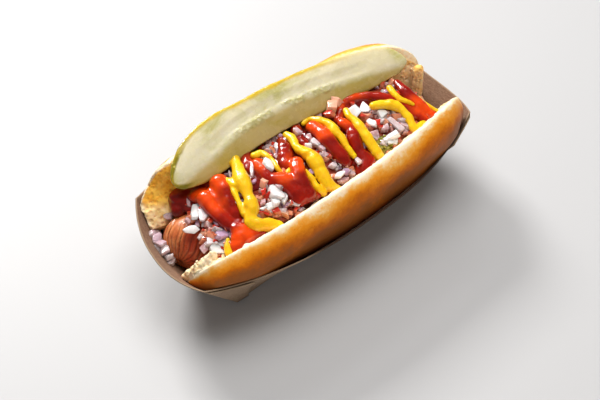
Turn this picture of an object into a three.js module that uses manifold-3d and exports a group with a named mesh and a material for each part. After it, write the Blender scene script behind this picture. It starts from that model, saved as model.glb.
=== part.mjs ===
// A dressed hot dog in its paper tray: a hinged bun, a sausage, a heap of diced toppings, piped
// ketchup and mustard, and a pickle spear laid along the back half of the bun.
//
// Millimetres, +Z up. X runs along the hot dog, -Y is the front half of the bun and +Y the back half.
// The origin is on the underside of the tray's floor, below the middle of the whole.
import * as THREE from 'three';
import { mergeVertices } from 'three/addons/utils/BufferGeometryUtils.js';
import Module from 'manifold-3d';

const wasm = await Module();
wasm.setup();

// ---------------------------------------------------------------- driving dimensions

const GAP = 0.35; // clearance kept between neighbouring solids
const TRAY_GAP = 0.7; // clearance between the bun and the tray's walls
const TRAY_REACH = { out: 9, rise: 1.04 }; // how far past the tray's own walls food is cut away, and how far above
const PICKLE_ROOM = 14; // how far in front of the pickle's cut faces the bread is cut away
const EASE = 0.08; // how far a facet may move when a cut solid is simplified

const TRAY = {
  board: 0.6, // thickness of the paperboard
  floorEnds: [-53, 57],
  floorHalfWidth: 14.5,
  // rim corners: front left, front right, back right, back left
  rim: { fl: [-75.4, -22.8, 31], fr: [75.4, -25, 31.5], br: [77.5, 27, 34], bl: [-67, 29.5, 38] },
  // how far the middle of each wall's rim stands out of the straight line, and how blunt that bow is
  bow: { front: [14.3, 2.5], right: [3.3, 4], back: [9.9, 2.4], left: [8.2, 2.3] },
  sag: { front: 2.6, right: 0.6, back: 1.5, left: 2.4 }, // drop of the rim in mid wall
};

const BUN = {
  frontEnds: [-74, 73.5],
  backEnds: [-68.5, 74.5],
  // the middle of each half's cut face, its lean from upright, half its height, its thickness, and how square
  // its crust's section is
  front: { y: -18.3, z: 28.5, lean: 31, half: 21.3, thick: 13.2, round: 0.78 },
  back: { y: 14.3, z: 30.3, lean: 14, half: 24.3, thick: 16.4, round: 0.66 },
  frontTip: 0.14, // share of the length over which the front half's right tip rounds off
  frontTongue: 6, // length over which its left end rounds off
  backTip: 0.1,
  backDip: 2.6, // how much lower the back half lies where the pickle is pressed on it
  curl: 35, // where the back half's right end starts to curl in
  // half of the section of the uncut bread between the halves: [y, z] from its underside to its top
  hinge: [[12, 1], [17.5, 3.2], [21, 8], [15, 14], [7, 10.6]],
  hingeEnds: [-66, 67],
};

const SAUSAGE = { radius: 11.5, left: [-69.4, 5.6, 26], right: [60, -1.5, 22.6], arch: 0.9 };

const PICKLE = {
  // spine of the cut face: left tip to right tip
  spine: [[-57.4, 16, 49.6], [-40, 18.6, 51.6], [-10, 19.8, 52.7], [20, 16.7, 52.2], [45, 11.4, 50.6], [66, 6, 48.4]],
  width: 21.6,
  depth: 7.4, // of the skin side, behind the cut faces
  ridge: 2, // height of the seed ridge where the two cut faces meet
  tilt: 35, // of the cut face from level, facing the front
};

// The toppings' crown across the middle of the hot dog: [y, z]
const CROWN = [[-29, 35.5], [-24, 39.2], [-20, 41.3], [-12, 44], [-4, 45.3], [4, 45.1], [11, 44], [17, 42], [22, 40]];
// How far the crown drops at its ends: from where, over which length, and by how much
const CROWN_DROP = { left: [-35, 25, 6], right: [50, 22, 5], power: 1.3 };
const HEAP = { left: -58, right: 61, bottom: 25, bump: 0.9 };

// Sauces follow [x, y] turning points over the crown; a third number sinks a point below it.
const MUSTARD = {
  radius: 2.35,
  flat: 0.95, // height of the line over its width
  lift: 2.6, // of its middle over the crown
  step: 3.6, // length of a facet
  path: [
    [-21.4, -9], [-19, -2], [-19.4, 4], [-22.5, 9, 0.5], [-27.4, 11.6, 0.5], [-33, 4], [-37.5, -5], [-41, -11.5],
    [-45.6, -15.6], [-44.4, -20.4], [-38, -23], [-29, -23.8, 1], [-19, -24, 2], [-11.5, -24, 0.5], [-8, -21],
    [-6, -17], [-5.4, -10], [-5.4, -2.5], [-2.6, 5.6], [3, 8.6], [9.5, 7], [13.6, 2], [13.2, -4], [11, -10.2],
    [9.6, -16], [9, -21], [11.5, -24, 1], [16, -24, 0.5], [18.2, -20.5], [19.4, -16], [21.5, -10],
    [22, -4], [24.4, 1.6, 1], [29.5, 0.5, 3.5], [34.2, -3.8], [38.7, -6.4], [42.3, -10.6], [43.4, -15.4],
    [43.4, -19.6], [46.5, -22, 0.5], [51.5, -22.4, 1], [55.4, -20], [54.4, -17], [51.6, -13], [47.8, -12.4],
    [45.6, -9.5], [45.8, -5.4], [47.4, 0.4],
  ],
};
const KETCHUP = {
  radius: 3.9,
  flat: 0.72,
  lift: 0.6,
  step: 4.6,
  path: [
    [-56.5, 14, 1], [-51, 9], [-50.4, 0], [-52, -9], [-56, -15.4, 1], [-51.5, -20, 1], [-44.6, -17.4], [-44, -9], [-42.3, 1],
    [-41, 9.4], [-34, 12.6, 1], [-26.5, 10], [-24.4, 3], [-25.4, -5], [-25.6, -13, 1], [-22, -21.6, 1], [-16.6, -22.4],
    [-17.6, -14.6], [-12.6, -6.4], [-9.4, 2], [-4, 10, 1.5], [4, 9.4, 0.5], [7.6, 2], [7.2, -8], [8.6, -17], [13, -23.4],
    [14.4, -16.6], [17, -9], [18.4, -0.6], [23, 5], [31, 3.8], [40, 0.8], [47.6, 0], [51.8, -5], [50, -13], [51.4, -20.4],
  ],
};

// ---------------------------------------------------------------- small helpers

const radians = THREE.MathUtils.degToRad;
const mix = THREE.MathUtils.lerp;
const { smoothstep } = THREE.MathUtils;
const point = (x, y, z) => new THREE.Vector3(x, y, z);

// A number read off a list of [place, value] pairs, in straight lines.
function between(list, at) {
  const next = list.findIndex(([place]) => place > at);
  if (next === 0) return list[0][1];
  if (next === -1) return list.at(-1)[1];
  const [[p0, v0], [p1, v1]] = [list[next - 1], list[next]];
  return mix(v0, v1, (at - p0) / (p1 - p0));
}

// How much of a round form is left at share t of the way into its end: 1 at t <= 0, to 0 at t = 1.
const roundOff = (t, power) => (t <= 0 ? 1 : Math.max(0, 1 - t ** power) ** 0.5);

// Turns a list of vertices and faces into a solid with its faces pointing out.
function solidOf(vertices, faces) {
  const build = (triangles) => {
    const geometry = new THREE.BufferGeometry().setFromPoints(vertices);
    geometry.setIndex(triangles.flat());
    const merged = mergeVertices(geometry, 1e-3);
    const kept = [];
    const index = merged.index.array;
    for (let i = 0; i < index.length; i += 3) {
      const [a, b, c] = index.slice(i, i + 3);
      if (a !== b && b !== c && c !== a) kept.push(a, b, c);
    }
    return new wasm.Manifold(
      new wasm.Mesh({ numProp: 3, vertProperties: merged.attributes.position.array, triVerts: new Uint32Array(kept) }),
    );
  };
  const solid = build(faces);
  return solid.volume() > 0 ? solid : build(faces.map(([a, b, c]) => [a, c, b]));
}

// Joins rings of equal length into a closed solid, with a fan over each end.
function loft(rings) {
  const count = rings[0].length;
  const vertices = rings.flat();
  const faces = [];
  for (let r = 0; r + 1 < rings.length; r++) {
    for (let i = 0; i < count; i++) {
      const [a, b] = [r * count + i, r * count + ((i + 1) % count)];
      faces.push([a, b, b + count], [a, b + count, a + count]);
    }
  }
  for (const [ring, first, turn] of [[rings[0], 0, 1], [rings.at(-1), (rings.length - 1) * count, -1]]) {
    const middle = ring.reduce((sum, p) => sum.add(p), point(0, 0, 0)).divideScalar(count);
    vertices.push(middle);
    for (let i = 0; i < count; i++) {
      const pair = [first + i, first + ((i + 1) % count)];
      faces.push(turn > 0 ? [pair[1], pair[0], vertices.length - 1] : [pair[0], pair[1], vertices.length - 1]);
    }
  }
  return solidOf(vertices, faces);
}

// The largest piece of a cut solid, with its needless facets taken out.
function largest(solid) {
  const pieces = solid.simplify(EASE).decompose();
  return pieces.reduce((best, piece) => (piece.volume() > best.volume() ? piece : best));
}

// ---------------------------------------------------------------- paper tray

// A point of the tray's outer face: wall by name, share t along it, share h of the way up.
function trayWalls() {
  const { floorEnds: [l, r], floorHalfWidth: w, rim, bow, sag } = TRAY;
  const floor = { fl: [l, -w, 0], fr: [r, -w, 0], br: [r, w, 0], bl: [l, w, 0] };
  const walls = [['front', 'fl', 'fr', [0, -1], 17], ['right', 'fr', 'br', [1, 0], 8],
    ['back', 'br', 'bl', [0, 1], 15], ['left', 'bl', 'fl', [-1, 0], 10]];
  return walls.map(([name, from, to, out, steps]) => ({
    steps,
    at(t, h) {
      const corner = (key) => point(...floor[key]).lerp(point(...rim[key]), h);
      const p = corner(from).lerp(corner(to), t);
      const [distance, power] = bow[name];
      const bulge = (1 - Math.abs(2 * t - 1) ** power) * h ** 0.9;
      return p.add(point(out[0] * distance * bulge, out[1] * distance * bulge, -sag[name] * bulge));
    },
  }));
}

// A tray-shaped shell: outset moves its outer face out, and inset is how far inside that face the inner one lies.
// Its walls reach rise times as high as the tray's.
function trayShell(outset, inset, rise = 1) {
  const levels = [0, 0.25, 0.6, rise];
  const loops = levels.map((h) => trayWalls().flatMap(({ steps, at }) =>
    Array.from({ length: steps }, (_, i) => at(i / steps, h))));
  const count = loops[0].length;
  const shifted = (distance, floorZ) => loops.map((loop, level) => loop.map((p, i) => {
    const along = loop[(i + 1) % count].clone().sub(loop[(i + count - 1) % count]);
    const up = loops[Math.min(level + 1, levels.length - 1)][i].clone().sub(loops[Math.max(level - 1, 0)][i]);
    const out = along.cross(up).normalize();
    const q = p.clone().addScaledVector(out, distance);
    if (level === 0) q.z = floorZ;
    return q;
  }));
  const outer = shifted(outset, -outset);
  const inner = shifted(-inset, inset);
  const vertices = [...outer.flat(), ...inner.flat(), point(0, 0, -outset), point(0, 0, inset)];
  const innerStart = outer.length * count;
  const [underside, inside] = [vertices.length - 2, vertices.length - 1];
  const faces = [];
  const quad = (a, b, c, d) => faces.push([a, b, c], [a, c, d]);
  for (let i = 0; i < count; i++) {
    const j = (i + 1) % count;
    for (let level = 0; level + 1 < levels.length; level++) {
      const [low, high] = [level * count, (level + 1) * count];
      quad(low + i, low + j, high + j, high + i);
      quad(innerStart + high + i, innerStart + high + j, innerStart + low + j, innerStart + low + i);
    }
    const top = (levels.length - 1) * count;
    quad(top + i, top + j, innerStart + top + j, innerStart + top + i);
    faces.push([j, i, underside], [innerStart + i, innerStart + j, inside]);
  }
  return solidOf(vertices, faces);
}

// ---------------------------------------------------------------- bun

// The rings of one half: a D-shaped section, flat on the cut face and round on the crust.
function bunHalf(side, sign, ends, endForm, grow) {
  const sections = 23;
  const crustSteps = 10;
  const rings = [];
  for (let s = 0; s < sections; s++) {
    const share = 0.5 - 0.5 * Math.cos((Math.PI * s) / (sections - 1)); // closer together at the ends
    const x = mix(ends[0] - grow, ends[1] + grow, share);
    const { dy, dz, size } = endForm(x, share);
    const lean = radians(side.lean) * sign;
    const up = [Math.sin(lean), Math.cos(lean)];
    const out = [sign * Math.cos(lean), -sign * Math.sin(lean)];
    const ring = [];
    const place = (a, b) => ring.push(point(x,
      side.y + dy + a * out[0] + b * up[0], side.z + dz + a * out[1] + b * up[1]));
    const [half, thick] = [side.half * size + grow, side.thick * size + grow];
    for (let i = 0; i <= crustSteps; i++) {
      const turn = Math.PI * (0.5 - i / crustSteps);
      const soft = (v) => Math.sign(v) * Math.abs(v) ** side.round;
      place(thick * soft(Math.cos(turn)), half * soft(Math.sin(turn)));
    }
    for (const b of [-0.6, 0, 0.6]) place(-0.9 * size - grow, half * b);
    rings.push(ring);
  }
  return loft(rings);
}

// How the front half's section shifts and shrinks along its length: it bows out in the middle, its torn left end is
// a low tongue, and it is thickest towards its round right tip.
function frontEndForm(x, share) {
  const left = Math.max(0, x / BUN.frontEnds[0]);
  const right = Math.max(0, x / BUN.frontEnds[1]);
  const tongue = mix(0.35, 1, roundOff(1 - (x - BUN.frontEnds[0]) / BUN.frontTongue, 2.4));
  const tip = mix(0.3, 1, roundOff(1 - (1 - share) / BUN.frontTip, 1.7));
  return {
    dy: 9.6 * left ** 2.6 + 6.8 * right ** 2.2 - 14 * Math.max(0, right - 0.9),
    dz: -5.2 * left ** 3,
    size: mix(0.78, 1, roundOff(1 - share / 0.12, 2)) * tongue * tip * (1 + 0.08 * smoothstep(x, 10, 60)),
  };
}

// The same for the back half, whose right end curls in towards the middle; its left end is torn.
function backEndForm(x, share) {
  const left = Math.max(0, x / BUN.backEnds[0]);
  const right = Math.max(0, (x - BUN.curl) / (BUN.backEnds[1] - BUN.curl));
  const dip = smoothstep(x, -50, -38) * (1 - smoothstep(x, 18, 34));
  return {
    dy: -5 * left ** 4 - 12 * right ** 2.2,
    dz: 2.2 * left - 4.6 * left ** 4 - 3 * right ** 1.5 - BUN.backDip * dip,
    size: mix(0.86, 1, roundOff(1 - share / 0.06, 2)) * mix(0.6, 1, roundOff(1 - (1 - share) / BUN.backTip, 2)),
  };
}

// The uncut bread under the sausage, which joins the halves.
function bunHinge(grow) {
  const outward = BUN.hinge.map(([y, z], i) => [y, z + (i === 0 ? -grow : i === BUN.hinge.length - 1 ? grow : 0)]);
  const section = [...outward, ...outward.map(([y, z]) => [-y, z]).reverse()];
  const [left, right] = BUN.hingeEnds;
  return loft([0, 0.05, 0.2, 0.5, 0.8, 0.95, 1].map((share) => {
    const narrow = 1 - 0.3 * Math.abs(2 * share - 1) ** 4;
    return section.map(([y, z]) => point(mix(left, right, share), y * narrow, z));
  }));
}

function bunSolid(grow = 0) {
  return wasm.Manifold.union([
    bunHalf(BUN.front, -1, BUN.frontEnds, frontEndForm, grow),
    bunHalf(BUN.back, 1, BUN.backEnds, backEndForm, grow),
    bunHinge(grow),
  ]);
}

// ---------------------------------------------------------------- sausage and pickle

function sausageSolid(grow = 0) {
  const [sections, around] = [21, 18];
  const { radius, left, right, arch } = SAUSAGE;
  const length = right[0] - left[0];
  const rings = [];
  for (let s = 0; s < sections; s++) {
    const share = 0.5 - 0.5 * Math.cos((Math.PI * (s + 0.35)) / (sections - 0.3));
    const middle = point(...left).lerp(point(...right), share);
    middle.z += arch * 4 * share * (1 - share);
    middle.x += (share - 0.5) * 2 * grow;
    const toEnd = Math.min(share, 1 - share) * length; // distance to the nearer tip
    const r = grow + radius * roundOff(1 - toEnd / (radius * 0.95), 2.3);
    rings.push(Array.from({ length: around }, (_, i) => {
      const turn = (2 * Math.PI * i) / around;
      return point(middle.x, middle.y + r * Math.cos(turn), middle.z + r * Math.sin(turn));
    }));
  }
  return loft(rings);
}

// A spear cut from a cucumber: two cut faces that meet at a low seed ridge, and a round skin behind them.
// room raises the cut faces, for the space that the bread leaves over them.
function pickleSolid(grow = 0, room = 0) {
  const [sections, skinSteps] = [25, 8];
  const spine = new THREE.CatmullRomCurve3(PICKLE.spine.map((p) => point(...p)), false, 'centripetal');
  const tilt = radians(PICKLE.tilt);
  const across = [Math.cos(tilt), Math.sin(tilt)];
  const facing = [-Math.sin(tilt), Math.cos(tilt)];
  const rings = [];
  for (let s = 0; s < sections; s++) {
    const share = 0.5 - 0.5 * Math.cos((Math.PI * (s + 0.4)) / (sections - 0.2));
    const middle = spine.getPointAt(share);
    middle.x += (share - 0.5) * 2 * grow;
    const blunt = share < 0.5 ? roundOff(1 - share / 0.16, 2.4) : roundOff(1 - (1 - share) / 0.3, 2.2);
    const half = (PICKLE.width / 2) * blunt + grow;
    const place = (a, b) => point(middle.x, middle.y + a * across[0] + b * facing[0], middle.z + a * across[1] + b * facing[1]);
    const ring = [-0.45, -0.1].map((a) => place(half * a, PICKLE.ridge * blunt * (1 + 0.3 * (a + 0.1)) + grow + room));
    for (let i = 0; i <= skinSteps; i++) {
      const turn = (Math.PI * i) / skinSteps;
      ring.push(place(half * Math.cos(turn), -(PICKLE.depth * blunt ** 0.8 + grow) * Math.sin(turn) ** 0.85));
    }
    rings.push(ring);
  }
  return loft(rings);
}

// ---------------------------------------------------------------- toppings

// Height of the toppings' crown over a point: lower towards both ends.
function crownHeight(x, y) {
  const { left, right, power } = CROWN_DROP;
  const drop = ([from, length, depth], past) => depth * Math.max(0, past(from) / length) ** power;
  return between(CROWN, y) - drop(left, (from) => from - x) - drop(right, (from) => x - from);
}

// Uneven lie of the diced pieces.
const lumps = (x, y) => Math.sin(0.83 * x + 0.4) * Math.cos(0.61 * y + 0.3) + 0.6 * Math.sin(0.41 * x - 0.9 * y);

function heapSolid() {
  const sections = 21;
  const rings = [];
  for (let s = 0; s < sections; s++) {
    const share = s / (sections - 1);
    const x = mix(HEAP.left, HEAP.right, share);
    const end = Math.max(roundOff(1 - share / 0.09, 2), 0.25) * Math.max(roundOff(1 - (1 - share) / 0.07, 2), 0.3);
    const ring = [-26, -21, -15, -9, -3, 3, 9, 14].map((y) => {
      const z = crownHeight(x, y) - 1.5 + HEAP.bump * lumps(x, y);
      return point(x, y * mix(0.8, 1, end), mix(HEAP.bottom + 4, z, end));
    });
    for (const [y, z] of [[13, 33], [8, HEAP.bottom], [-12, HEAP.bottom], [-20, 31]]) {
      ring.push(point(x, y * mix(0.8, 1, end), z));
    }
    rings.push(ring);
  }
  return loft(rings);
}

// A piped line of sauce: an oval section swept over the crown, one short length after another.
function sauceSolid({ path, radius, lift, flat, step }, grow = 0) {
  const sides = 6;
  const curve = new THREE.CatmullRomCurve3(
    path.map(([x, y, sink = 0]) => point(x, y, crownHeight(x, y) + lift - sink)), false, 'centripetal');
  const steps = Math.round(curve.getLength() / step);
  const ringAt = (share) => {
    const middle = curve.getPointAt(share);
    const along = curve.getTangentAt(share);
    const across = point(0, 0, 1).cross(along).normalize();
    const up = along.clone().cross(across);
    if (share === 0 || share === 1) middle.addScaledVector(along, grow * Math.sign(share - 0.5));
    const end = Math.max(0.35, roundOff(1 - Math.min(share, 1 - share) * steps * 0.9, 2));
    return Array.from({ length: sides }, (_, i) => {
      const turn = (2 * Math.PI * (i + 0.5)) / sides;
      return middle.clone()
        .addScaledVector(across, (radius * end + grow) * Math.cos(turn))
        .addScaledVector(up, (radius * flat * end + grow) * Math.sin(turn));
    });
  };
  const rings = Array.from({ length: steps + 1 }, (_, s) => ringAt(s / steps));
  return wasm.Manifold.union(rings.slice(1).map((ring, s) => loft([rings[s], ring])));
}

// ---------------------------------------------------------------- the pieces, each cut clear of its neighbours

const tray = trayShell(0, TRAY.board);
const trayKeepOut = trayShell(TRAY_REACH.out, TRAY.board + TRAY_GAP, TRAY_REACH.rise);
const clearOf = (solid, others) => largest(others.reduce((left, other) => left.subtract(other), solid));
const sausage = clearOf(sausageSolid(), [trayKeepOut]);
const pickle = pickleSolid();
const bun = clearOf(bunSolid(), [trayKeepOut, sausageSolid(GAP), pickleSolid(GAP, PICKLE_ROOM)]);
const fixed = [bunSolid(GAP), sausageSolid(GAP), pickleSolid(GAP)];
const mustard = clearOf(sauceSolid(MUSTARD), fixed);
const mustardKeepOut = sauceSolid(MUSTARD, GAP);
const ketchup = clearOf(sauceSolid(KETCHUP), [...fixed, mustardKeepOut]);
const ketchupKeepOut = sauceSolid(KETCHUP, GAP);
const heap = clearOf(heapSolid(), [...fixed, mustardKeepOut, ketchupKeepOut]);

// ---------------------------------------------------------------- scene graph

function meshOf(name, solid, look) {
  const { vertProperties, triVerts, numProp } = solid.getMesh();
  const positions = new Float32Array((vertProperties.length / numProp) * 3);
  for (let i = 0; i < positions.length / 3; i++) {
    positions.set(vertProperties.subarray(i * numProp, i * numProp + 3), i * 3);
  }
  const geometry = new THREE.BufferGeometry()
    .setAttribute('position', new THREE.BufferAttribute(positions, 3))
    .setIndex(new THREE.BufferAttribute(triVerts, 1));
  geometry.computeVertexNormals();
  const mesh = new THREE.Mesh(geometry, new THREE.MeshStandardMaterial(look));
  mesh.name = name;
  return mesh;
}

const hotDog = new THREE.Group();
hotDog.add(
  meshOf('paper_tray', tray, { color: 0x8f7358, roughness: 0.85, metalness: 0 }),
  meshOf('bun', bun, { color: 0xdca25a, roughness: 0.6, metalness: 0 }),
  meshOf('sausage', sausage, { color: 0x9c4a2c, roughness: 0.35, metalness: 0 }),
  meshOf('pickle_spear', pickle, { color: 0xbfc07a, roughness: 0.25, metalness: 0 }),
  meshOf('diced_toppings', heap, { color: 0xd9c2bd, roughness: 0.4, metalness: 0 }),
  meshOf('ketchup', ketchup, { color: 0xa8160c, roughness: 0.15, metalness: 0 }),
  meshOf('mustard', mustard, { color: 0xf2b705, roughness: 0.3, metalness: 0 }),
);

export default hotDog;
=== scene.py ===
import math

import bmesh
import bpy
import numpy as np
from mathutils import Matrix, Vector
from mathutils.bvhtree import BVHTree
from mathutils.kdtree import KDTree


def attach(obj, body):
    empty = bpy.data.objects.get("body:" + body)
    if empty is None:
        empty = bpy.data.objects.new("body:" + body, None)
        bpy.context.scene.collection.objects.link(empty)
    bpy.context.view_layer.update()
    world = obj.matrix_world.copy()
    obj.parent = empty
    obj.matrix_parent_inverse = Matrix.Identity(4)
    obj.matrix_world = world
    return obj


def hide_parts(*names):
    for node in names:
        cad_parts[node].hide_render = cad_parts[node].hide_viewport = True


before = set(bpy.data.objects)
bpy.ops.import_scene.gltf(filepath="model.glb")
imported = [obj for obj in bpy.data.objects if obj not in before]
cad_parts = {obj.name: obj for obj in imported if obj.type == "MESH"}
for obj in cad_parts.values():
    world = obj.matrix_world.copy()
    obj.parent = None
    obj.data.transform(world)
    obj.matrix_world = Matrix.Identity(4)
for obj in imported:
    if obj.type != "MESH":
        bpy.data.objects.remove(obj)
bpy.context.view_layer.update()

MM = 0.001
V = np.array
# size of a remeshed face in each piece
BREAD_FACE, CORE_FACE, PICKLE_FACE = 0.6 * MM, 0.7 * MM, 0.5 * MM
SAUSAGE_FACE, KETCHUP_FACE, MUSTARD_FACE = 0.45 * MM, 0.45 * MM, 0.36 * MM
APART = 0.3  # gap that is cut between neighbouring pieces, in millimetres


# ---------------------------------------------------------------- noise

def chance(i, j, k, seed):
    """A number in 0..1 that belongs to one whole-number place."""
    h = (i * 374761393 + j * 668265263 + k * 1274126177 + seed * 974634777) & 0xFFFFFFFF
    h = ((h ^ (h >> 13)) * 1103515245) & 0xFFFFFFFF
    h = ((h ^ (h >> 16)) * 374761393) & 0xFFFFFFFF
    return ((h ^ (h >> 15)) & 0xFFFFFF) / 0xFFFFFF


def noise(p, size, seed=0):
    """Smooth noise in -1..1 with features about size wide (one number, or one for each axis)."""
    q = V(p, float) / size
    low = np.floor(q).astype(np.int64)
    f = q - low
    f = f * f * f * (f * (f * 6 - 15) + 10)
    total = 0
    for corner in np.ndindex(2, 2, 2):
        weight = np.prod(np.where(corner, f, 1 - f), axis=-1)
        total = total + weight * chance(*(low + corner).T, seed)
    return total * 2 - 1


def rough(p, size, octaves=3, seed=0, gain=0.5):
    """Noise with finer and weaker noise on top of it."""
    total, weight, norm = 0, 1.0, 0.0
    for o in range(octaves):
        total = total + weight * noise(p, V(size) / 2 ** o, seed + 17 * o)
        norm += weight
        weight *= gain
    return total / norm


def cells(p, size, seed=0):
    """Of points scattered about size apart: distances to the nearest two, and a number for the nearest."""
    q = V(p, float) / size
    base = np.floor(q).astype(np.int64)
    near = np.full(len(q), 9.0)
    second = near.copy()
    name = np.zeros(len(q))
    for corner in np.ndindex(3, 3, 3):
        c = base + V(corner) - 1
        spot = c + np.stack([chance(*c.T, seed + s) for s in (1, 2, 3)], -1)
        d = np.linalg.norm(q - spot, axis=1)
        closer = d < near
        second = np.where(closer, near, np.minimum(second, d))
        name = np.where(closer, chance(*c.T, seed + 4), name)
        near = np.where(closer, d, near)
    return near, second, name


def ramp(x, low, high):
    t = np.clip((V(x, float) - low) / (high - low), 0, 1)
    return t * t * (3 - 2 * t)


def mix(a, b, t):
    return a + (b - a) * t


# ---------------------------------------------------------------- mesh helpers

def new_object(name, verts, faces):
    """A smooth mesh object from points in millimetres and lists of point numbers."""
    verts = V(verts, float).reshape(-1, 3) * MM
    mesh = bpy.data.meshes.new(name)
    mesh.from_pydata(verts.tolist(), [], [list(map(int, f)) for f in faces])
    mesh.update()
    mesh.validate()
    mesh.shade_smooth()
    obj = bpy.data.objects.new(name, mesh)
    bpy.context.scene.collection.objects.link(obj)
    return obj


def coords(obj):
    co = np.zeros(len(obj.data.vertices) * 3, np.float32)
    obj.data.vertices.foreach_get("co", co)
    return co.reshape(-1, 3).astype(float) / MM


def normals(obj):
    n = np.zeros(len(obj.data.vertices) * 3, np.float32)
    obj.data.vertex_normals.foreach_get("vector", n)
    return n.reshape(-1, 3).astype(float)


def set_coords(obj, p):
    obj.data.vertices.foreach_set("co", (p * MM).astype(np.float32).ravel())
    obj.data.update()


def wear(obj, material):
    """Gives an object one material on all of its faces."""
    obj.data.materials.clear()
    obj.data.materials.append(material)
    obj.data.polygons.foreach_set("material_index", np.zeros(len(obj.data.polygons), np.int32))


def set_values(obj, **values):
    """Stores named numbers for each vertex, for the materials to read."""
    for name, numbers in values.items():
        attribute = obj.data.attributes.new(name, "FLOAT", "POINT")
        attribute.data.foreach_set("value", V(numbers, float).astype(np.float32))


def applied(obj, *modifiers):
    """Puts (type, settings) modifiers on an object and turns their result into its mesh."""
    for kind, settings in modifiers:
        m = obj.modifiers.new(kind, kind)
        for key, value in settings.items():
            setattr(m, key, value)
    graph = bpy.context.evaluated_depsgraph_get()
    result = bpy.data.meshes.new_from_object(obj.evaluated_get(graph))
    obj.modifiers.clear()
    old = obj.data
    obj.data = result
    bpy.data.meshes.remove(old)
    obj.data.shade_smooth()
    return obj


def voxel(size):
    """Remakes a mesh from even faces, which also joins what overlaps."""
    return ("REMESH", {"mode": "VOXEL", "voxel_size": size, "use_smooth_shade": True})


def relax(turns, factor=0.5):
    return ("SMOOTH", {"factor": factor, "iterations": turns})


def cut(obj, tool):
    return applied(obj, ("BOOLEAN", {"operation": "DIFFERENCE", "object": tool, "solver": "MANIFOLD"}))


def joined(name, objects):
    """One mesh object out of several."""
    verts, faces, start = [], [], 0
    for o in objects:
        co = coords(o)
        verts.append(co)
        faces += [[i + start for i in f.vertices] for f in o.data.polygons]
        start += len(co)
    for o in objects:
        bpy.data.objects.remove(o)
    return new_object(name, np.concatenate(verts), faces)


def loft_faces(rows, count, closed_rows=True):
    """Quads between rings of points, with an n-sided cap over each end."""
    r, i = np.meshgrid(np.arange(rows - 1), np.arange(count), indexing="ij")
    a = (r * count + i).ravel()
    b = (r * count + (i + 1) % count).ravel()
    quads = np.stack([a, b, b + count, a + count], 1).tolist()
    if closed_rows:
        quads.append(list(range(count))[::-1])
        quads.append(list(range((rows - 1) * count, rows * count)))
    return quads


def loft(name, rings):
    rings = V(rings, float)
    obj = new_object(name, rings.reshape(-1, 3), loft_faces(len(rings), rings.shape[1]))
    co = rings.reshape(-1, 3)
    volume = 0.0
    for f in obj.data.polygons:
        v = co[list(f.vertices)]
        for n in range(1, len(v) - 1):
            volume += np.dot(v[0], np.cross(v[n], v[n + 1]))
    if volume < 0:
        obj.data.flip_normals()
    return obj


def between(a, b, start, end, s):
    """From a at start to b at end."""
    return (end - s) / (end - start) * a + (s - start) / (end - start) * b


def spline(points, count=None, step=None, per_span=24):
    """Points evenly spread along a smooth curve through the given ones (centripetal Catmull-Rom)."""
    p = V(points, float)
    p = np.concatenate([[2 * p[0] - p[1]], p, [2 * p[-1] - p[-2]]])
    spans = []
    for i in range(1, len(p) - 2):
        q = p[i - 1:i + 3]
        t = np.cumsum([0] + [max(np.linalg.norm(q[k + 1] - q[k]), 1e-6) ** 0.5 for k in range(3)])
        s = np.linspace(t[1], t[2], per_span, endpoint=False)[:, None]
        a = [between(q[k], q[k + 1], t[k], t[k + 1], s) for k in range(3)]
        b = [between(a[k], a[k + 1], t[k], t[k + 2], s) for k in range(2)]
        spans.append(between(*b, t[1], t[2], s))
    dense = np.concatenate(spans + [p[-2:-1]])
    along = np.concatenate([[0], np.cumsum(np.linalg.norm(np.diff(dense, axis=0), axis=1))])
    count = count or max(2, int(round(along[-1] / step)) + 1)
    places = np.linspace(0, along[-1], count)
    return np.stack([np.interp(places, along, dense[:, k]) for k in range(p.shape[1])], 1)


# ---------------------------------------------------------------- the construction's own forms, in mm

TRAY = {
    "board": 0.6,
    "ends": (-53.0, 57.0),
    "half": 14.5,
    "rim": {"fl": (-75.4, -22.8, 31), "fr": (75.4, -25, 31.5), "br": (77.5, 27, 34), "bl": (-67, 29.5, 38)},
    "bow": {"front": (14.3, 2.5), "right": (3.3, 4), "back": (9.9, 2.4), "left": (8.2, 2.3)},
    "sag": {"front": 2.6, "right": 0.6, "back": 1.5, "left": 2.4},
}
# walls with the corners where they start and end, and the way out
WALLS = [
    ("front", "fl", "fr", (0, -1)), ("right", "fr", "br", (1, 0)),
    ("back", "br", "bl", (0, 1)), ("left", "bl", "fl", (-1, 0)),
]
FRONT = {"y": -18.3, "z": 28.5, "lean": 31, "half": 21.3, "thick": 13.2, "round": 0.78,
         "ends": (-74.0, 73.5), "way": -1}
BACK = {"y": 14.3, "z": 30.3, "lean": 14, "half": 24.3, "thick": 16.4, "round": 0.66,
        "ends": (-68.5, 74.5), "way": 1}
# the crown of the toppings across the hot dog: y, z
CROWN = V([(-29, 35.5), (-24, 39.2), (-20, 41.3), (-12, 44), (-4, 45.3), (4, 45.1), (11, 44), (17, 42),
           (22, 40)], float)


def round_off(t, power):
    return np.where(V(t) <= 0, 1.0, np.maximum(0, 1 - np.maximum(t, 0) ** power) ** 0.5)


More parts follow.
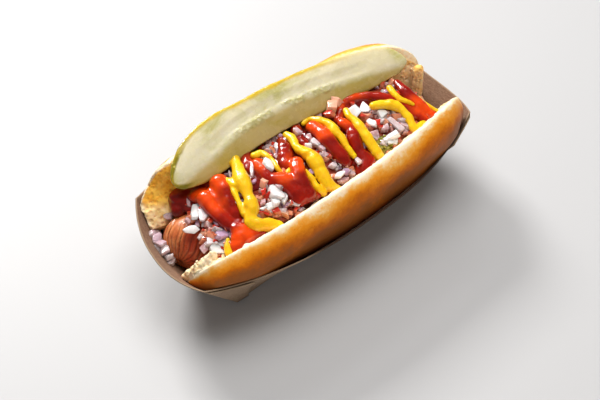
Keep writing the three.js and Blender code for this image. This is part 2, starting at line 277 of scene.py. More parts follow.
def tray_wall(name, t, h):
    """A point of the tray's outer face: share t along the wall, share h of the way up."""
    name, start, end, out = next(wall for wall in WALLS if wall[0] == name)
    left, right = TRAY["ends"]
    half = TRAY["half"]
    floor = {"fl": (left, -half, 0), "fr": (right, -half, 0), "br": (right, half, 0), "bl": (left, half, 0)}
    t, h = np.broadcast_arrays(V(t, float), V(h, float))
    from_corner, to_corner = (mix(V(floor[key], float), V(TRAY["rim"][key], float), h[..., None])
                              for key in (start, end))
    distance, power = TRAY["bow"][name]
    bulge = (1 - np.abs(2 * t - 1) ** power) * h ** 0.9
    bowed = np.stack([out[0] * distance * bulge, out[1] * distance * bulge, -TRAY["sag"][name] * bulge], -1)
    return mix(from_corner, to_corner, t[..., None]) + bowed


def crown(x, y):
    """Height of the toppings' crown over a point: lower towards both ends."""
    left, right = np.maximum(0, (-35 - x) / 25), np.maximum(0, (x - 50) / 22)
    return np.interp(y, CROWN[:, 0], CROWN[:, 1]) - 6 * left ** 1.3 - 5 * right ** 1.3


def front_form(x):
    """How far the front half's section lies off its middle line at x, and its size."""
    start, end = FRONT["ends"]
    share = np.clip((x - start) / (end - start), 0, 1)
    left, right = np.maximum(0, x / start), np.maximum(0, x / end)
    dy = 9.6 * left ** 2.6 + 6.8 * right ** 2.2 - 14 * np.maximum(0, right - 0.9)  # both ends swing inwards
    dz = -5.2 * left ** 3  # and the left one sinks
    size = mix(0.78, 1, round_off(1 - share / 0.12, 2)) * mix(0.3, 1, round_off(1 - (1 - share) / 0.14, 1.7))
    size = size * (1 + 0.08 * ramp(x, 10, 60)) * mix(0.35, 1, round_off(1 - (x - start) / 6, 2.4))
    return dy, dz, size


def back_form(x):
    """The same for the back half."""
    start, end = BACK["ends"]
    share = np.clip((x - start) / (end - start), 0, 1)
    left, right = np.maximum(0, x / start), np.maximum(0, (x - 35) / (end - 35))
    dy = -5 * left ** 4 - 12 * right ** 2.2
    dz = 2.2 * left - 4.6 * left ** 4 - 3 * right ** 1.5 - 2.6 * ramp(x, -50, -38) * ramp(x, 34, 18)
    size = mix(0.86, 1, round_off(1 - share / 0.06, 2)) * mix(0.6, 1, round_off(1 - (1 - share) / 0.1, 2))
    return dy, dz, size


FRONT["form"], BACK["form"] = front_form, back_form


def half_axes(side):
    """The directions out of a half's cut face and up along it, in YZ."""
    way, lean = side["way"], math.radians(side["lean"]) * side["way"]
    return V([way * math.cos(lean), -way * math.sin(lean)]), V([math.sin(lean), math.cos(lean)])


def half_place(side, p):
    """Points in a half's own section, outwards from its cut face and up along it, and the section's size."""
    out, up = half_axes(side)
    dy, dz, size = side["form"](p[:, 0])
    q = np.stack([p[:, 1] - side["y"] - dy, p[:, 2] - side["z"] - dz], 1)
    return q @ out, q @ up, size


def soft(wave, power):
    """A wave with its sign kept and its size raised to a power, for a corner between round and square."""
    return np.sign(wave) * np.abs(wave) ** power


def half_loft(name, side, stations=130, crust=40, inner=14):
    """One half of the bun: a round crust and a slightly hollow cut face along its length."""
    out, up = half_axes(side)
    x = mix(*side["ends"], 0.5 - 0.5 * np.cos(np.linspace(0, math.pi, stations)))
    dy, dz, size = side["form"](x)
    turn = np.linspace(math.pi / 2, -math.pi / 2, crust)
    up_face = np.linspace(-1, 1, inner + 2)[1:-1]
    a = np.concatenate([side["thick"] * soft(np.cos(turn), side["round"]), -0.9 * (1 - up_face ** 4)])
    b = side["half"] * np.concatenate([soft(np.sin(turn), side["round"]), up_face])
    y = side["y"] + dy[:, None] + size[:, None] * (a * out[0] + b * up[0])
    z = side["z"] + dz[:, None] + size[:, None] * (a * out[1] + b * up[1])
    return loft(name, np.stack([np.broadcast_to(x[:, None], y.shape), y, z], -1))


def hinge_loft(name):
    """The bread under the sausage that joins the halves: one closed section, narrower at both ends."""
    right_side = [(12, 1), (17.5, 3.2), (21, 8), (15, 14), (7, 10.6)]
    section = right_side + [(-y, z) for y, z in right_side[::-1]]
    share = np.linspace(0, 1, 24)
    narrow = 1 - 0.3 * np.abs(2 * share - 1) ** 4
    return loft(name, [[(mix(-66, 67, s), y * n, z) for y, z in section] for s, n in zip(share, narrow)])


SAUSAGE = {"radius": 11.5, "left": V([-69.4, 5.6, 26.0]), "right": V([60, -1.5, 22.6]), "arch": 0.9}


def sausage_rings(stations, around, grow=0.0):
    share = 0.5 - 0.5 * np.cos(math.pi * (np.arange(stations) + 0.12) / (stations - 0.76))
    left, right, radius = SAUSAGE["left"], SAUSAGE["right"], SAUSAGE["radius"]
    middle = mix(left, right, share[:, None])
    middle[:, 2] += SAUSAGE["arch"] * 4 * share * (1 - share)
    middle[:, 0] += (share - 0.5) * 2 * grow
    to_end = np.minimum(share, 1 - share) * (right[0] - left[0])
    r = grow + radius * round_off(1 - to_end / (radius * 0.95), 2.3)
    turn = np.linspace(0, 2 * math.pi, around, endpoint=False)
    rings = np.repeat(middle[:, None, :], around, 1)
    rings[:, :, 1] += r[:, None] * np.cos(turn)
    rings[:, :, 2] += r[:, None] * np.sin(turn)
    return rings


PICKLE = {
    "spine": [(-57.4, 16, 49.6), (-40, 18.6, 51.6), (-10, 19.8, 52.7), (20, 16.7, 52.2), (45, 11.4, 50.6),
              (66, 6, 48.4)],
    "width": 21.6, "depth": 7.4, "ridge": 2.0, "tilt": 35,
    # tips: share of the length and power of the round, on the right for the upper and the lower half
    "left_tip": (0.2, 1.7), "right_tips": ((0.09, 2.1), (0.4, 1.75)),
}


def pickle_axes():
    """The directions across the cut face and out of it, in YZ."""
    tilt = math.radians(PICKLE["tilt"])
    return V([math.cos(tilt), math.sin(tilt)]), V([-math.sin(tilt), math.cos(tilt)])


def pickle_rings(stations, skin, flesh, grow=0.0, room=0.0):
    """Rings round the spear: a crowned cut face and a round skin side, leaf-shaped towards both ends."""
    across, facing = pickle_axes()
    share = 0.5 - 0.5 * np.cos(math.pi * (np.arange(stations) + 0.1) / (stations - 0.8))
    even = spline(PICKLE["spine"], count=800)
    middle = np.stack([np.interp(share, np.linspace(0, 1, 800), even[:, k]) for k in range(3)], 1)
    middle[:, 0] += (share - 0.5) * 2 * grow
    tip, power = PICKLE["left_tip"]
    left = round_off(1 - share / tip, power)
    upper, lower = (np.where(share < 0.5, left, round_off(1 - (1 - share) / tip, power))[:, None]
                    for tip, power in PICKLE["right_tips"])
    blunt = (upper + lower) / 2
    s = np.linspace(-1, 1, flesh + 2)[1:-1]
    peak = -0.22
    off_peak = np.where(s < peak, (peak - s) / (1 + peak), (s - peak) / (1 - peak))
    turn = np.linspace(0, math.pi, skin)
    a = np.concatenate([s, np.cos(turn)])
    top = np.concatenate([1 - off_peak ** 1.7, np.zeros(skin)])
    low = np.concatenate([np.zeros(flesh), np.sin(turn) ** 0.85])
    is_flesh = np.concatenate([np.ones(flesh), np.zeros(skin)])
    facing_by = (PICKLE["ridge"] * blunt * top + (grow + room) * is_flesh
                 - (PICKLE["depth"] * blunt ** 0.8 + grow) * low)
    half = PICKLE["width"] / 2
    slimmer = 1.5 * ramp(middle[:, 0:1], -26, -8)
    across_by = (np.where(a > 0, (half - slimmer) * upper, half * lower) + grow) * a
    y = middle[:, 1:2] + across_by * across[0] + facing_by * facing[0]
    z = middle[:, 2:3] + across_by * across[1] + facing_by * facing[1]
    return np.stack([np.broadcast_to(middle[:, 0:1], y.shape), y, z], -1)


# ---------------------------------------------------------------- node materials

class Nodes:
    """A short way to write a procedural material."""

    def __init__(self, name):
        self.material = bpy.data.materials.new(name)
        self.material.use_nodes = True
        self.tree = self.material.node_tree
        self.shader = next(n for n in self.tree.nodes if n.type == "BSDF_PRINCIPLED")
        place = self.tree.nodes.new("ShaderNodeTexCoord")
        self.place = place.outputs["Object"]

    def put(self, socket, value):
        if isinstance(value, bpy.types.NodeSocket):
            self.tree.links.new(value, socket)
        elif value is not None:
            if socket.type == "RGBA" and len(value) == 3:
                value = (*value, 1)
            socket.default_value = value

    def node(self, kind, inputs=None, out=0, **settings):
        n = self.tree.nodes.new("ShaderNode" + kind)
        for key, value in settings.items():
            setattr(n, key, value)
        for key, value in (inputs or {}).items():
            self.put(n.inputs[key], value)
        return n.outputs[out]

    def values(self, *names):
        """What set_values stored on the mesh."""
        return [self.node("Attribute", attribute_name=name, out="Fac") for name in names]

    def math(self, operation, a, b, clamp=False):
        return self.node("Math", {0: a, 1: b}, operation=operation, use_clamp=clamp)

    def scaled(self, by):
        return self.node("Mapping", {"Vector": self.place, "Scale": by})

    def noise(self, scale, detail=3.0, rough=0.55, at=None, distortion=0.0):
        return self.node("TexNoise", {"Vector": at or self.place, "Scale": scale, "Detail": detail,
                                      "Roughness": rough, "Distortion": distortion})

    def cells(self, scale):
        return self.node("TexVoronoi", {"Vector": self.place, "Scale": scale}, out="Distance")

    def range(self, value, low, high, to_low=0.0, to_high=1.0):
        return self.node("MapRange", {"Value": value, "From Min": low, "From Max": high,
                                      "To Min": to_low, "To Max": to_high}, interpolation_type="SMOOTHSTEP")

    def mix(self, factor, a, b):
        n = self.tree.nodes.new("ShaderNodeMix")
        n.data_type = "RGBA"
        self.put(n.inputs[0], factor)
        self.put(n.inputs[6], a)
        self.put(n.inputs[7], b)
        return n.outputs[2]

    def blend(self, texture, low, high, a, b, share=None):
        """Colour a where a texture is low and b, or only a share of it, where it is high."""
        factor = self.range(texture, low, high)
        return self.mix(factor if share is None else self.math("MULTIPLY", factor, share), a, b)

    def bump(self, height, distance, strength=1.0, under=None):
        inputs = {"Height": height, "Distance": distance, "Strength": strength}
        if under is not None:
            inputs["Normal"] = under
        return self.node("Bump", inputs)

    def set(self, **values):
        for key, value in values.items():
            self.put(self.shader.inputs[key.replace("_", " ")], value)
        return self.material

    def wet(self, color, roughness, bump, light_inside, depth, film, film_roughness, **more):
        """A moist surface: some light spreads to a depth inside it, and a clear film lies on it."""
        return self.set(Base_Color=color, Roughness=roughness, Normal=bump, Subsurface_Weight=light_inside,
                        Subsurface_Radius=depth, Subsurface_Scale=1.0, Coat_Weight=film,
                        Coat_Roughness=film_roughness, **more)


# the crust from hardly baked to dark: where each tone starts and where it is full, and its colour
CRUST_TONES = [(0.0, 0.3, (0.92, 0.50, 0.11)), (0.16, 0.46, (0.88, 0.30, 0.014)),
               (0.4, 0.75, (0.64, 0.15, 0.003)), (0.65, 1.0, (0.36, 0.11, 0.020))]


def crust_material():
    """Bread: golden mottled crust with fine pores, pale crumb where the cut and torn faces are."""
    n = Nodes("bread")
    crumb, bake, toast, pale = n.values("crumb", "bake", "toast", "pale")
    mottle = n.noise(1, 5, 0.62, at=n.scaled((120, 190, 190)))
    fine = n.noise(700, 3, 0.6)
    specks = n.noise(1500, 2, 0.5)
    tone = n.math("ADD", bake, n.math("MULTIPLY", n.math("SUBTRACT", mottle, 0.5), 0.5))
    tone = n.math("ADD", tone, n.math("MULTIPLY", n.math("SUBTRACT", fine, 0.5), 0.26), clamp=True)
    crust = (0.97, 0.84, 0.62)
    for start, full, browner in CRUST_TONES:
        crust = n.blend(tone, start, full, crust, browner)
    crust = n.blend(specks, 0.62, 0.75, crust, (0.22, 0.05, 0.006), 0.25)
    # pale: a painted highlight on the crust beside the torn left end
    crust = n.mix(pale, crust, (0.95, 0.80, 0.56))
    holes = n.cells(520)
    soft = n.blend(n.noise(260, 4, 0.6), 0.35, 0.7, (0.90, 0.66, 0.36), (0.97, 0.86, 0.66))
    # painted shade: the crumb is made darker in its holes
    soft = n.blend(holes, 0.35, 0.05, soft, (0.64, 0.42, 0.18), 0.3)
    soft = n.mix(toast, soft, n.blend(mottle, 0.35, 0.65, (1.0, 0.58, 0.10), (0.95, 0.42, 0.035)))
    pores = n.math("ADD", n.math("MULTIPLY", fine, 0.6), n.math("MULTIPLY", specks, 0.4))
    relief = n.bump(pores, 0.00022, 0.5)
    relief = n.bump(n.math("MULTIPLY", crumb, n.range(holes, 0.0, 0.6)), 0.0009, 0.7, relief)
    dull = n.math("ADD", n.math("MULTIPLY", crumb, 0.42), n.range(mottle, 0.2, 0.8, 0.38, 0.52), clamp=True)
    return n.set(Base_Color=n.mix(crumb, crust, soft), Roughness=dull, Normal=relief, Subsurface_Weight=0.1,
                 Subsurface_Scale=0.004, Specular_IOR_Level=0.14)


def crumb_material():
    """Loose crumbs: pale, some with a golden side."""
    n = Nodes("loose_crumb")
    color = n.blend(n.noise(420, 2, 0.5), 0.5, 0.65, (0.93, 0.80, 0.56), (0.86, 0.48, 0.12))
    relief = n.bump(n.noise(1400, 2, 0.6), 0.0003, 0.6)
    return n.set(Base_Color=color, Roughness=0.8, Normal=relief, Specular_IOR_Level=0.2)


def sausage_material():
    """Browned skin: lighter streaks, painted shade in the wrinkles, sauce red that is partly painted shade.
    """
    n = Nodes("sausage_skin")
    groove, sauce = n.values("groove", "sauce")
    mottle = n.noise(220, 4, 0.55)
    streak = n.noise(1, 3, 0.5, at=n.scaled((90, 420, 420)))
    color = n.blend(mottle, 0.3, 0.7, (0.66, 0.20, 0.060), (0.52, 0.11, 0.030))
    color = n.blend(streak, 0.45, 0.75, color, (0.74, 0.29, 0.10))
    # sauce red, which on the right and the front-right side also stands in for painted shade
    color = n.mix(sauce, color, (0.42, 0.025, 0.006))
    # painted shade in the wrinkles and at the gathered tip
    color = n.mix(groove, color, (0.075, 0.010, 0.004))
    return n.wet(color, n.range(mottle, 0.2, 0.8, 0.24, 0.42), n.bump(n.noise(900, 3, 0.6), 0.00016, 0.5),
                 0.15, (0.004, 0.0012, 0.0006), 0.25, 0.15)


def pickle_material():
    """Pickle: yellow-green skin, pale wet flesh with some painted shade, and a glassier seed band along the
    ridge.
    """
    n = Nodes("pickle")
    skin, seeds, lower, edge, milky = n.values("skin", "seeds", "lower", "edge", "milky")
    cloud = n.noise(1, 5, 0.6, at=n.scaled((45, 85, 85)), distortion=0.5)
    streak = n.noise(1, 4, 0.6, at=n.scaled((60, 700, 700)))
    bands = n.noise(1, 3, 0.5, at=n.scaled((40, 260, 260)))
    flesh = n.blend(cloud, 0.36, 0.62, (0.48, 0.44, 0.16), (0.72, 0.66, 0.46))
    flesh = n.blend(streak, 0.45, 0.7, flesh, (0.76, 0.71, 0.52), 0.25)
    # lower: the flesh below the ridge is yellower and darker, partly its own colour and partly painted shade
    flesh = n.mix(n.math("MULTIPLY", lower, 0.7), flesh, (0.47, 0.33, 0.045))
    flesh = n.mix(n.math("MULTIPLY", milky, 0.75), flesh, (0.74, 0.66, 0.47))
    inner = n.blend(n.cells(330), 0.15, 0.5, (0.62, 0.58, 0.31), (0.40, 0.36, 0.09))
    flesh = n.mix(n.math("MULTIPLY", seeds, 0.5), flesh, inner)
    # edge: yellow flesh along the upper skin, plus painted shade where the cut face rounds off
    flesh = n.mix(n.math("MULTIPLY", edge, 0.9), flesh, (0.56, 0.39, 0.012))
    rind = n.blend(bands, 0.35, 0.7, (0.42, 0.30, 0.012), (0.20, 0.17, 0.008))
    rind = n.blend(n.noise(500, 2, 0.5), 0.6, 0.75, rind, (0.62, 0.55, 0.12))
    relief = n.bump(n.noise(420, 3, 0.55), 0.0002, 0.3)
    relief = n.bump(n.math("MULTIPLY", seeds, n.cells(520)), 0.0008, 0.8, relief)
    return n.wet(n.mix(skin, flesh, rind), n.range(n.noise(300, 2, 0.5), 0.3, 0.7, 0.16, 0.34), relief,
                 0.45, (0.006, 0.005, 0.002), 0.35, 0.08)


def ketchup_material():
    """Ketchup: deep red, darker where it lies low (thin sauce and painted shade), painted brighter where
    light shines through it.
    """
    n = Nodes("ketchup")
    thin, glow = n.values("thin", "glow")
    color = n.blend(n.noise(150, 3, 0.5), 0.3, 0.7, (0.34, 0.009, 0.001), (0.20, 0.004, 0.001))
    # thin: darker where the sauce lies low, partly thin sauce and partly painted shade between the strands
    color = n.mix(thin, color, (0.13, 0.003, 0.001))
    color = n.mix(glow, color, (0.74, 0.062, 0.002))
    relief = n.bump(n.noise(600, 3, 0.5), 0.0002, 0.3)
    return n.wet(color, 0.2, relief, 0.3, (0.005, 0.0008, 0.0003), 0.3, 0.05, Specular_IOR_Level=0.4)


def mustard_material():
    n = Nodes("mustard")
    color = n.blend(n.noise(180, 3, 0.5), 0.3, 0.7, (0.90, 0.57, 0.008), (0.82, 0.44, 0.003))
    color = n.blend(n.noise(1600, 2, 0.5), 0.6, 0.72, color, (0.55, 0.24, 0.004), 0.4)
    relief = n.bump(n.noise(900, 3, 0.6), 0.00022, 0.4)
    return n.wet(color, 0.3, relief, 0.3, (0.004, 0.002, 0.0004), 0.25, 0.12)


def onion_material():
    """Raw onion: glassy white, pinker where wet with juice and, as painted shade, on its underside; purple
    at its skin side.
    """
    n = Nodes("onion")
    skin, stain = n.values("skin", "stain")
    veins = n.noise(1, 3, 0.5, at=n.scaled((900, 900, 260)))
    color = n.blend(stain, 0.0, 0.5, (0.78, 0.73, 0.73), (0.60, 0.46, 0.46))
    color = n.blend(stain, 0.5, 1.0, color, (0.44, 0.20, 0.17))
    color = n.blend(veins, 0.45, 0.7, color, (0.94, 0.88, 0.87), 0.4)
    purple = n.blend(n.noise(500, 2, 0.5), 0.3, 0.7, (0.30, 0.16, 0.26), (0.46, 0.30, 0.42))
    return n.wet(n.mix(skin, color, purple), 0.22, n.bump(n.noise(700, 2, 0.5), 0.0002, 0.4),
                 0.6, (0.004, 0.003, 0.003), 0.3, 0.1)


def tomato_material():
    n = Nodes("tomato")
    skin, stain = n.values("skin", "stain")
    flesh = n.blend(n.noise(300, 3, 0.5), 0.3, 0.7, (0.62, 0.12, 0.05), (0.72, 0.25, 0.13))
    flesh = n.mix(stain, flesh, (0.76, 0.38, 0.26))
    return n.wet(n.mix(skin, flesh, (0.50, 0.02, 0.008)), 0.18, n.bump(n.noise(800, 2, 0.5), 0.0002, 0.4),
                 0.35, (0.004, 0.0012, 0.0008), 0.35, 0.08)


def relish_material():
    n = Nodes("relish")
    stain = n.values("stain")[0]
    color = n.mix(stain, (0.20, 0.17, 0.015), (0.38, 0.33, 0.06))
    color = n.blend(n.noise(900, 2, 0.5), 0.5, 0.7, color, (0.12, 0.12, 0.01))
    return n.wet(color, 0.2, None, 0.25, (0.002, 0.002, 0.0006), 0.4, 0.08)


def core_material():
    """The juicy mass between the diced pieces: dark red, partly juice and partly painted shade in the gaps.
    """
    n = Nodes("topping_mass")
    bits = n.cells(330)
    # dark red: partly juice colour, partly painted shade in the gaps between the pieces
    color = n.blend(n.noise(260, 4, 0.6), 0.35, 0.65, (0.24, 0.022, 0.008), (0.36, 0.075, 0.04))
    color = n.blend(bits, 0.3, 0.1, color, (0.55, 0.30, 0.24), 0.6)
    return n.wet(color, 0.2, n.bump(bits, 0.0012, 0.7), 0.25, (0.003, 0.001, 0.0006), 0.4, 0.08)


def board_material():
    """Kraft board: fibres both ways, darker inside and at the folds, a paler cut edge, painted shade under
    the bun.
    """
    n = Nodes("kraft_board")
    edge, within, crease, damp = n.values("edge", "within", "crease", "damp")
    fibre = n.noise(1, 4, 0.65, at=n.scaled((500, 2600, 2600)))
    cross = n.noise(1, 4, 0.65, at=n.scaled((2600, 500, 900)))
    grain = n.math("MULTIPLY", n.math("ADD", fibre, cross), 0.5)
    color = n.mix(within, (0.30, 0.195, 0.125), (0.215, 0.115, 0.075))
    color = n.blend(grain, 0.42, 0.6, color, (0.50, 0.36, 0.24), 0.35)
    color = n.blend(grain, 0.5, 0.38, color, (0.12, 0.07, 0.045), 0.35)
    color = n.blend(n.noise(45, 3, 0.5), 0.35, 0.7, color, (0.26, 0.17, 0.115), 0.25)
    color = n.mix(n.math("MULTIPLY", crease, 0.5), color, (0.16, 0.095, 0.06))
    color = n.mix(edge, color, (0.36, 0.25, 0.16))
    # painted shade: the front rim under the bun is darkened as if in the bun's shadow
    color = n.mix(damp, color, (0.035, 0.018, 0.012))
    relief = n.bump(grain, 0.00012, 0.5)
    return n.set(Base_Color=color, Roughness=0.78, Normal=relief, Specular_IOR_Level=0.3)


# ---------------------------------------------------------------- camera, light, floor

AZIMUTH, ELEVATION = math.radians(-43.5), math.radians(46)
RIGHT = Vector((math.cos(AZIMUTH), math.sin(AZIMUTH), 0))
AWAY = Vector((-math.sin(AZIMUTH), math.cos(AZIMUTH), 0))
BACKWARD = Vector((math.sin(AZIMUTH) * math.cos(ELEVATION), -math.cos(AZIMUTH) * math.cos(ELEVATION),
                   math.sin(ELEVATION)))
CAMERA_AT = Vector((-291.910, -304.146, 448.218)) * MM
SENSOR = 36
FOCAL = 1417 / 600 * SENSOR  # the photo is 600 pixels wide
LIT_POINT = Vector((0, 0, 0.03))
SKY_COLOR, SKY_STRENGTH = (1.0, 0.98, 0.96, 1), 0.14
# area lights: name, direction (right, away, up), distance, size, watts, colour, seen in reflections
LIGHTS = [
    ("window", (-0.52, 0.84, 0.70), 0.95, (0.30, 0.22), 10.0, (1.0, 0.985, 0.96), True),
    ("overhead", (0.05, 0.12, 1.0), 0.85, (0.75, 0.6), 7.0, (1.0, 0.98, 0.95), False),
    ("strip", (-0.15, 0.9, 0.95), 0.9, (0.30, 0.05), 0.8, (1.0, 1.0, 1.0), True),
    ("fill", (0.1, -0.9, 0.35), 0.9, (0.6, 0.3), 1.3, (1.0, 0.97, 0.93), False),
]


def place_camera():
    data = bpy.data.cameras.new("camera")
    data.lens = FOCAL
    data.sensor_width = SENSOR
    data.clip_start = 0.01
    camera = bpy.data.objects.new("camera", data)
    facing = Matrix((RIGHT, BACKWARD.cross(RIGHT), BACKWARD)).transposed().to_4x4()
    camera.matrix_world = Matrix.Translation(CAMERA_AT) @ facing
    bpy.context.scene.collection.objects.link(camera)
    bpy.context.scene.camera = camera


def area_light(name, direction, distance, size, watts, color, mirrored):
    data = bpy.data.lights.new(name, "AREA")
    data.shape = "RECTANGLE"
    data.size, data.size_y = size
    data.energy = watts
    data.color = color
    light = bpy.data.objects.new(name, data)
    light.visible_glossy = mirrored
    right, away, up = direction
    towards = (AWAY * away + RIGHT * right + Vector((0, 0, up))).normalized()
    light.location = LIT_POINT + towards * distance
    light.rotation_euler = towards.to_track_quat("Z", "Y").to_euler()
    bpy.context.scene.collection.objects.link(light)


def light_up():
    """The four lights over a dim even sky."""
    world = bpy.data.worlds.new("studio")
    world.use_nodes = True
    background = world.node_tree.nodes["Background"]
    background.inputs["Color"].default_value = SKY_COLOR
    background.inputs["Strength"].default_value = SKY_STRENGTH
    bpy.context.scene.world = world
    for light in LIGHTS:
        area_light(*light)
    bpy.context.scene.view_settings.view_transform = "Standard"


def lay_floor(half=1500):
    corners = [(-half, -half, 0), (half, -half, 0), (half, half, 0), (-half, half, 0)]
    floor = new_object("floor", corners, [(0, 1, 2, 3)])
    n = Nodes("floor_paint")
    n.set(Base_Color=n.mix(n.noise(3, 3, 0.5), (0.49, 0.49, 0.50), (0.52, 0.52, 0.53)), Roughness=0.55)
    wear(floor, n.material)


# ---------------------------------------------------------------- paper tray

# steps along each wall: for the tray itself, and for what is tested or cut against it
WALL_STEPS = {"front": 90, "right": 36, "back": 80, "left": 48}
COARSE_STEPS = {"front": 60, "right": 26, "back": 60, "left": 30}
WALL_LENGTHS = {"front": 150, "right": 52, "back": 145, "left": 53}
FLOOR_RINGS = (0.97, 0.8, 0.55, 0.3, 0.1)  # as shares of the floor's outline
# corner tabs: wall, whether at its start, share of its length at the foot and at the rim
TABS = [("front", True, 0.055, 0.125), ("front", False, 0.055, 0.125),
        ("back", True, 0.05, 0.115), ("back", False, 0.05, 0.115)]
TAB_BOARD = 0.45
TRAY_MIDDLE = Vector((0, 0, 20))


def round_walls(steps):
    """(wall, share along it) at each step round the tray."""
    return [(name, i / steps[name]) for name, *_ in WALLS for i in range(steps[name])]


def tray_grid(steps, levels):
    """Points of the tray's outer face, level by level, and the directions out of it."""
    grid = np.stack([np.stack([tray_wall(name, t, h) for name, t in round_walls(steps)]) for h in levels])
    around = np.roll(grid, -1, 1) - np.roll(grid, 1, 1)
    out = np.cross(around, np.gradient(grid, axis=0))
    out /= np.linalg.norm(out, axis=2, keepdims=True)
    return grid, out


def above_floor(inner, height):
    """The inner face, no lower than the floor's upper face."""
    inner[0, :, 2] = height
    inner[:, :, 2] = np.maximum(inner[:, :, 2], height)
    return inner


def make_tray():
    """The tray of one thin board, with soft fold lines, a bowed rim and a flat floor."""
    board = TRAY["board"]
    levels = np.concatenate([[0.0, 0.012, 0.03], np.linspace(0.07, 0.96, 17), [0.985, 1.0]])
    grid, out = tray_grid(WALL_STEPS, levels)
    uneven = rough(grid.reshape(-1, 3), 28, 2, 3).reshape(grid.shape[:2]) * 0.35 * levels[:, None]
    grid = grid + out * (uneven - 0.15)[..., None] * np.minimum(1, levels * 4)[:, None, None]
    grid[..., 2] = np.maximum(grid[..., 2], 0)
    inner = above_floor(grid - out * board, board)
    count = grid.shape[1]
    upward = grid[-1] - grid[-2]
    rim = mix(grid[-1], inner[-1], 0.5) + upward / np.linalg.norm(upward, axis=1, keepdims=True) * 0.12

    def floor_rings(ring, z):
        middle, height = ring.mean(0), np.full((count, 1), z)
        return [np.concatenate([mix(middle, ring, share)[:, :2], height], 1) for share in FLOOR_RINGS]

    rings = V([*floor_rings(grid[0], 0.0)[::-1], *grid, rim, *inner[::-1], *floor_rings(inner[0], board)])
    p = rings.reshape(-1, 3)
    tray = new_object("kraft_tray", p, loft_faces(len(rings), count))

    on_floor = np.zeros(len(FLOOR_RINGS))
    level = np.repeat(np.concatenate([on_floor, levels, [1], levels[::-1], on_floor]), count)
    from_rim = np.repeat(np.arange(len(rings)), count) - len(FLOOR_RINGS) - len(levels)
    from_corner = V([min(t, 1 - t) * WALL_LENGTHS[name] for name, t in round_walls(WALL_STEPS)])
    corner_fold = np.clip(1 - np.tile(from_corner, len(rings)) / 1.6, 0, 1) * (level > 0)
    floor_fold = np.clip(1 - np.abs(level - 0.012) / 0.03, 0, 1)
    # painted shade along the front rim where the bun hangs over it
    near_rim = ramp(level + 0.01 * noise(p, 6, 9), 0.90, 0.96)
    under_bun = (p[:, 1] < 0) * ramp(p[:, 0], -38, -22) * ramp(p[:, 0], 74, 66)
    set_values(tray, edge=(from_rim == 0) + 0.75 * (np.abs(from_rim) == 1), within=from_rim > 0,
               crease=np.maximum(corner_fold, floor_fold), damp=0.92 * near_rim * under_bun)
    material = board_material()
    wear(tray, material)
    if tray.data.polygons[0].normal.z > 0:
        tray.data.flip_normals()
    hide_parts("paper_tray")
    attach(tray, "root")
    return material


def tab_sheet(wall, at_start, foot, top, rows=14, columns=12):
    """The outer and the inner face of one tab as grids of points."""
    h = np.linspace(0.04, 0.985, rows)
    s = np.linspace(0, 1, columns)
    t = mix(foot, top, h)[:, None] * s
    t = t if at_start else 1 - t
    p = tray_wall(wall, t, np.broadcast_to(h[:, None], t.shape))
    out = np.cross(np.gradient(p, axis=1), np.gradient(p, axis=0))
    out /= np.linalg.norm(out, axis=2, keepdims=True)
    if (out[..., 1].mean() > 0) != (wall == "back"):
        out = -out
    lift = 0.75 + 0.25 * s ** 3 + 0.12 * noise(p.reshape(-1, 3), 9, 5).reshape(t.shape)
    lift = lift * np.clip(s * 14, 0.02, 1)
    return p + out * lift[..., None], p + out * (lift - TAB_BOARD)[..., None]


def make_tabs(material):
    """Corner tabs: each short wall's ends, folded round the corners and glued to the long walls' outside."""
    verts, faces, edges, start = [], [], [], 0
    for tab in TABS:
        sheets = tab_sheet(*tab)
        rows, columns, _ = sheets[0].shape
        verts += [sheet.reshape(-1, 3) for sheet in sheets]
        free_edge = np.zeros((rows, columns))
        free_edge[:, -1] = 1
        free_edge[-1, :] = 1
        edges += [free_edge.ravel()] * 2
        outer = np.arange(rows * columns).reshape(rows, columns) + start
        inner = outer + rows * columns
        for index, turn in ((outer, 1), (inner, -1)):
            quads = np.stack([index[:-1, :-1], index[:-1, 1:], index[1:, 1:], index[1:, :-1]], -1)
            faces += quads.reshape(-1, 4)[:, ::turn].tolist()
        ring = np.concatenate([outer[0, :], outer[1:, -1], outer[-1, -2::-1], outer[-2:0:-1, 0]])
        for a, b in zip(ring, np.roll(ring, -1)):
            faces.append([b, a, a + rows * columns, b + rows * columns])
        start += 2 * rows * columns
    tabs = new_object("tray_tabs", np.concatenate(verts), faces)
    set_values(tabs, edge=np.concatenate(edges) * 0.9)
    wear(tabs, material)
    outward_normals(tabs)
    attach(tabs, "root")


def outward_normals(obj):
    """Turns each loose part's faces to point out of it."""
    mesh = bmesh.new()
    mesh.from_mesh(obj.data)
    bmesh.ops.recalc_face_normals(mesh, faces=mesh.faces)
    mesh.to_mesh(obj.data)
    mesh.free()


def tray_inside():
    """The tray's inner face as a search tree, for what has to stay inside it."""
    levels = np.linspace(0, 1.25, 16)
    grid, out = tray_grid(COARSE_STEPS, levels)
    count = grid.shape[1]
    verts = (grid - out * TRAY["board"]).reshape(-1, 3).tolist() + [(0, 0, TRAY["board"])]
    faces = loft_faces(len(levels), count, closed_rows=False)
    faces += [[len(verts) - 1, (i + 1) % count, i] for i in range(count)]
    return BVHTree.FromPolygons([tuple(v) for v in verts], [tuple(f) for f in faces])


def outside_tray(over_rim=1.03, around=9.0, below=5.0):
    """Everything outside the tray's inner face up to just over its rim, as a solid to cut with."""
    grid, out = tray_grid(COARSE_STEPS, np.linspace(0, over_rim, 14))
    wall = TRAY["board"] + APART
    inner = above_floor(grid - out * wall, wall)
    flat = out[-1] * V([1, 1, 0])
    flat /= np.linalg.norm(flat, axis=1, keepdims=True)
    far_top = grid[-1] + flat * around
    far_low = far_top * V([1, 1, 0]) - V([0, 0, below])
    return loft("outside_tray", np.concatenate([[far_low], [far_top], inner[::-1]]))


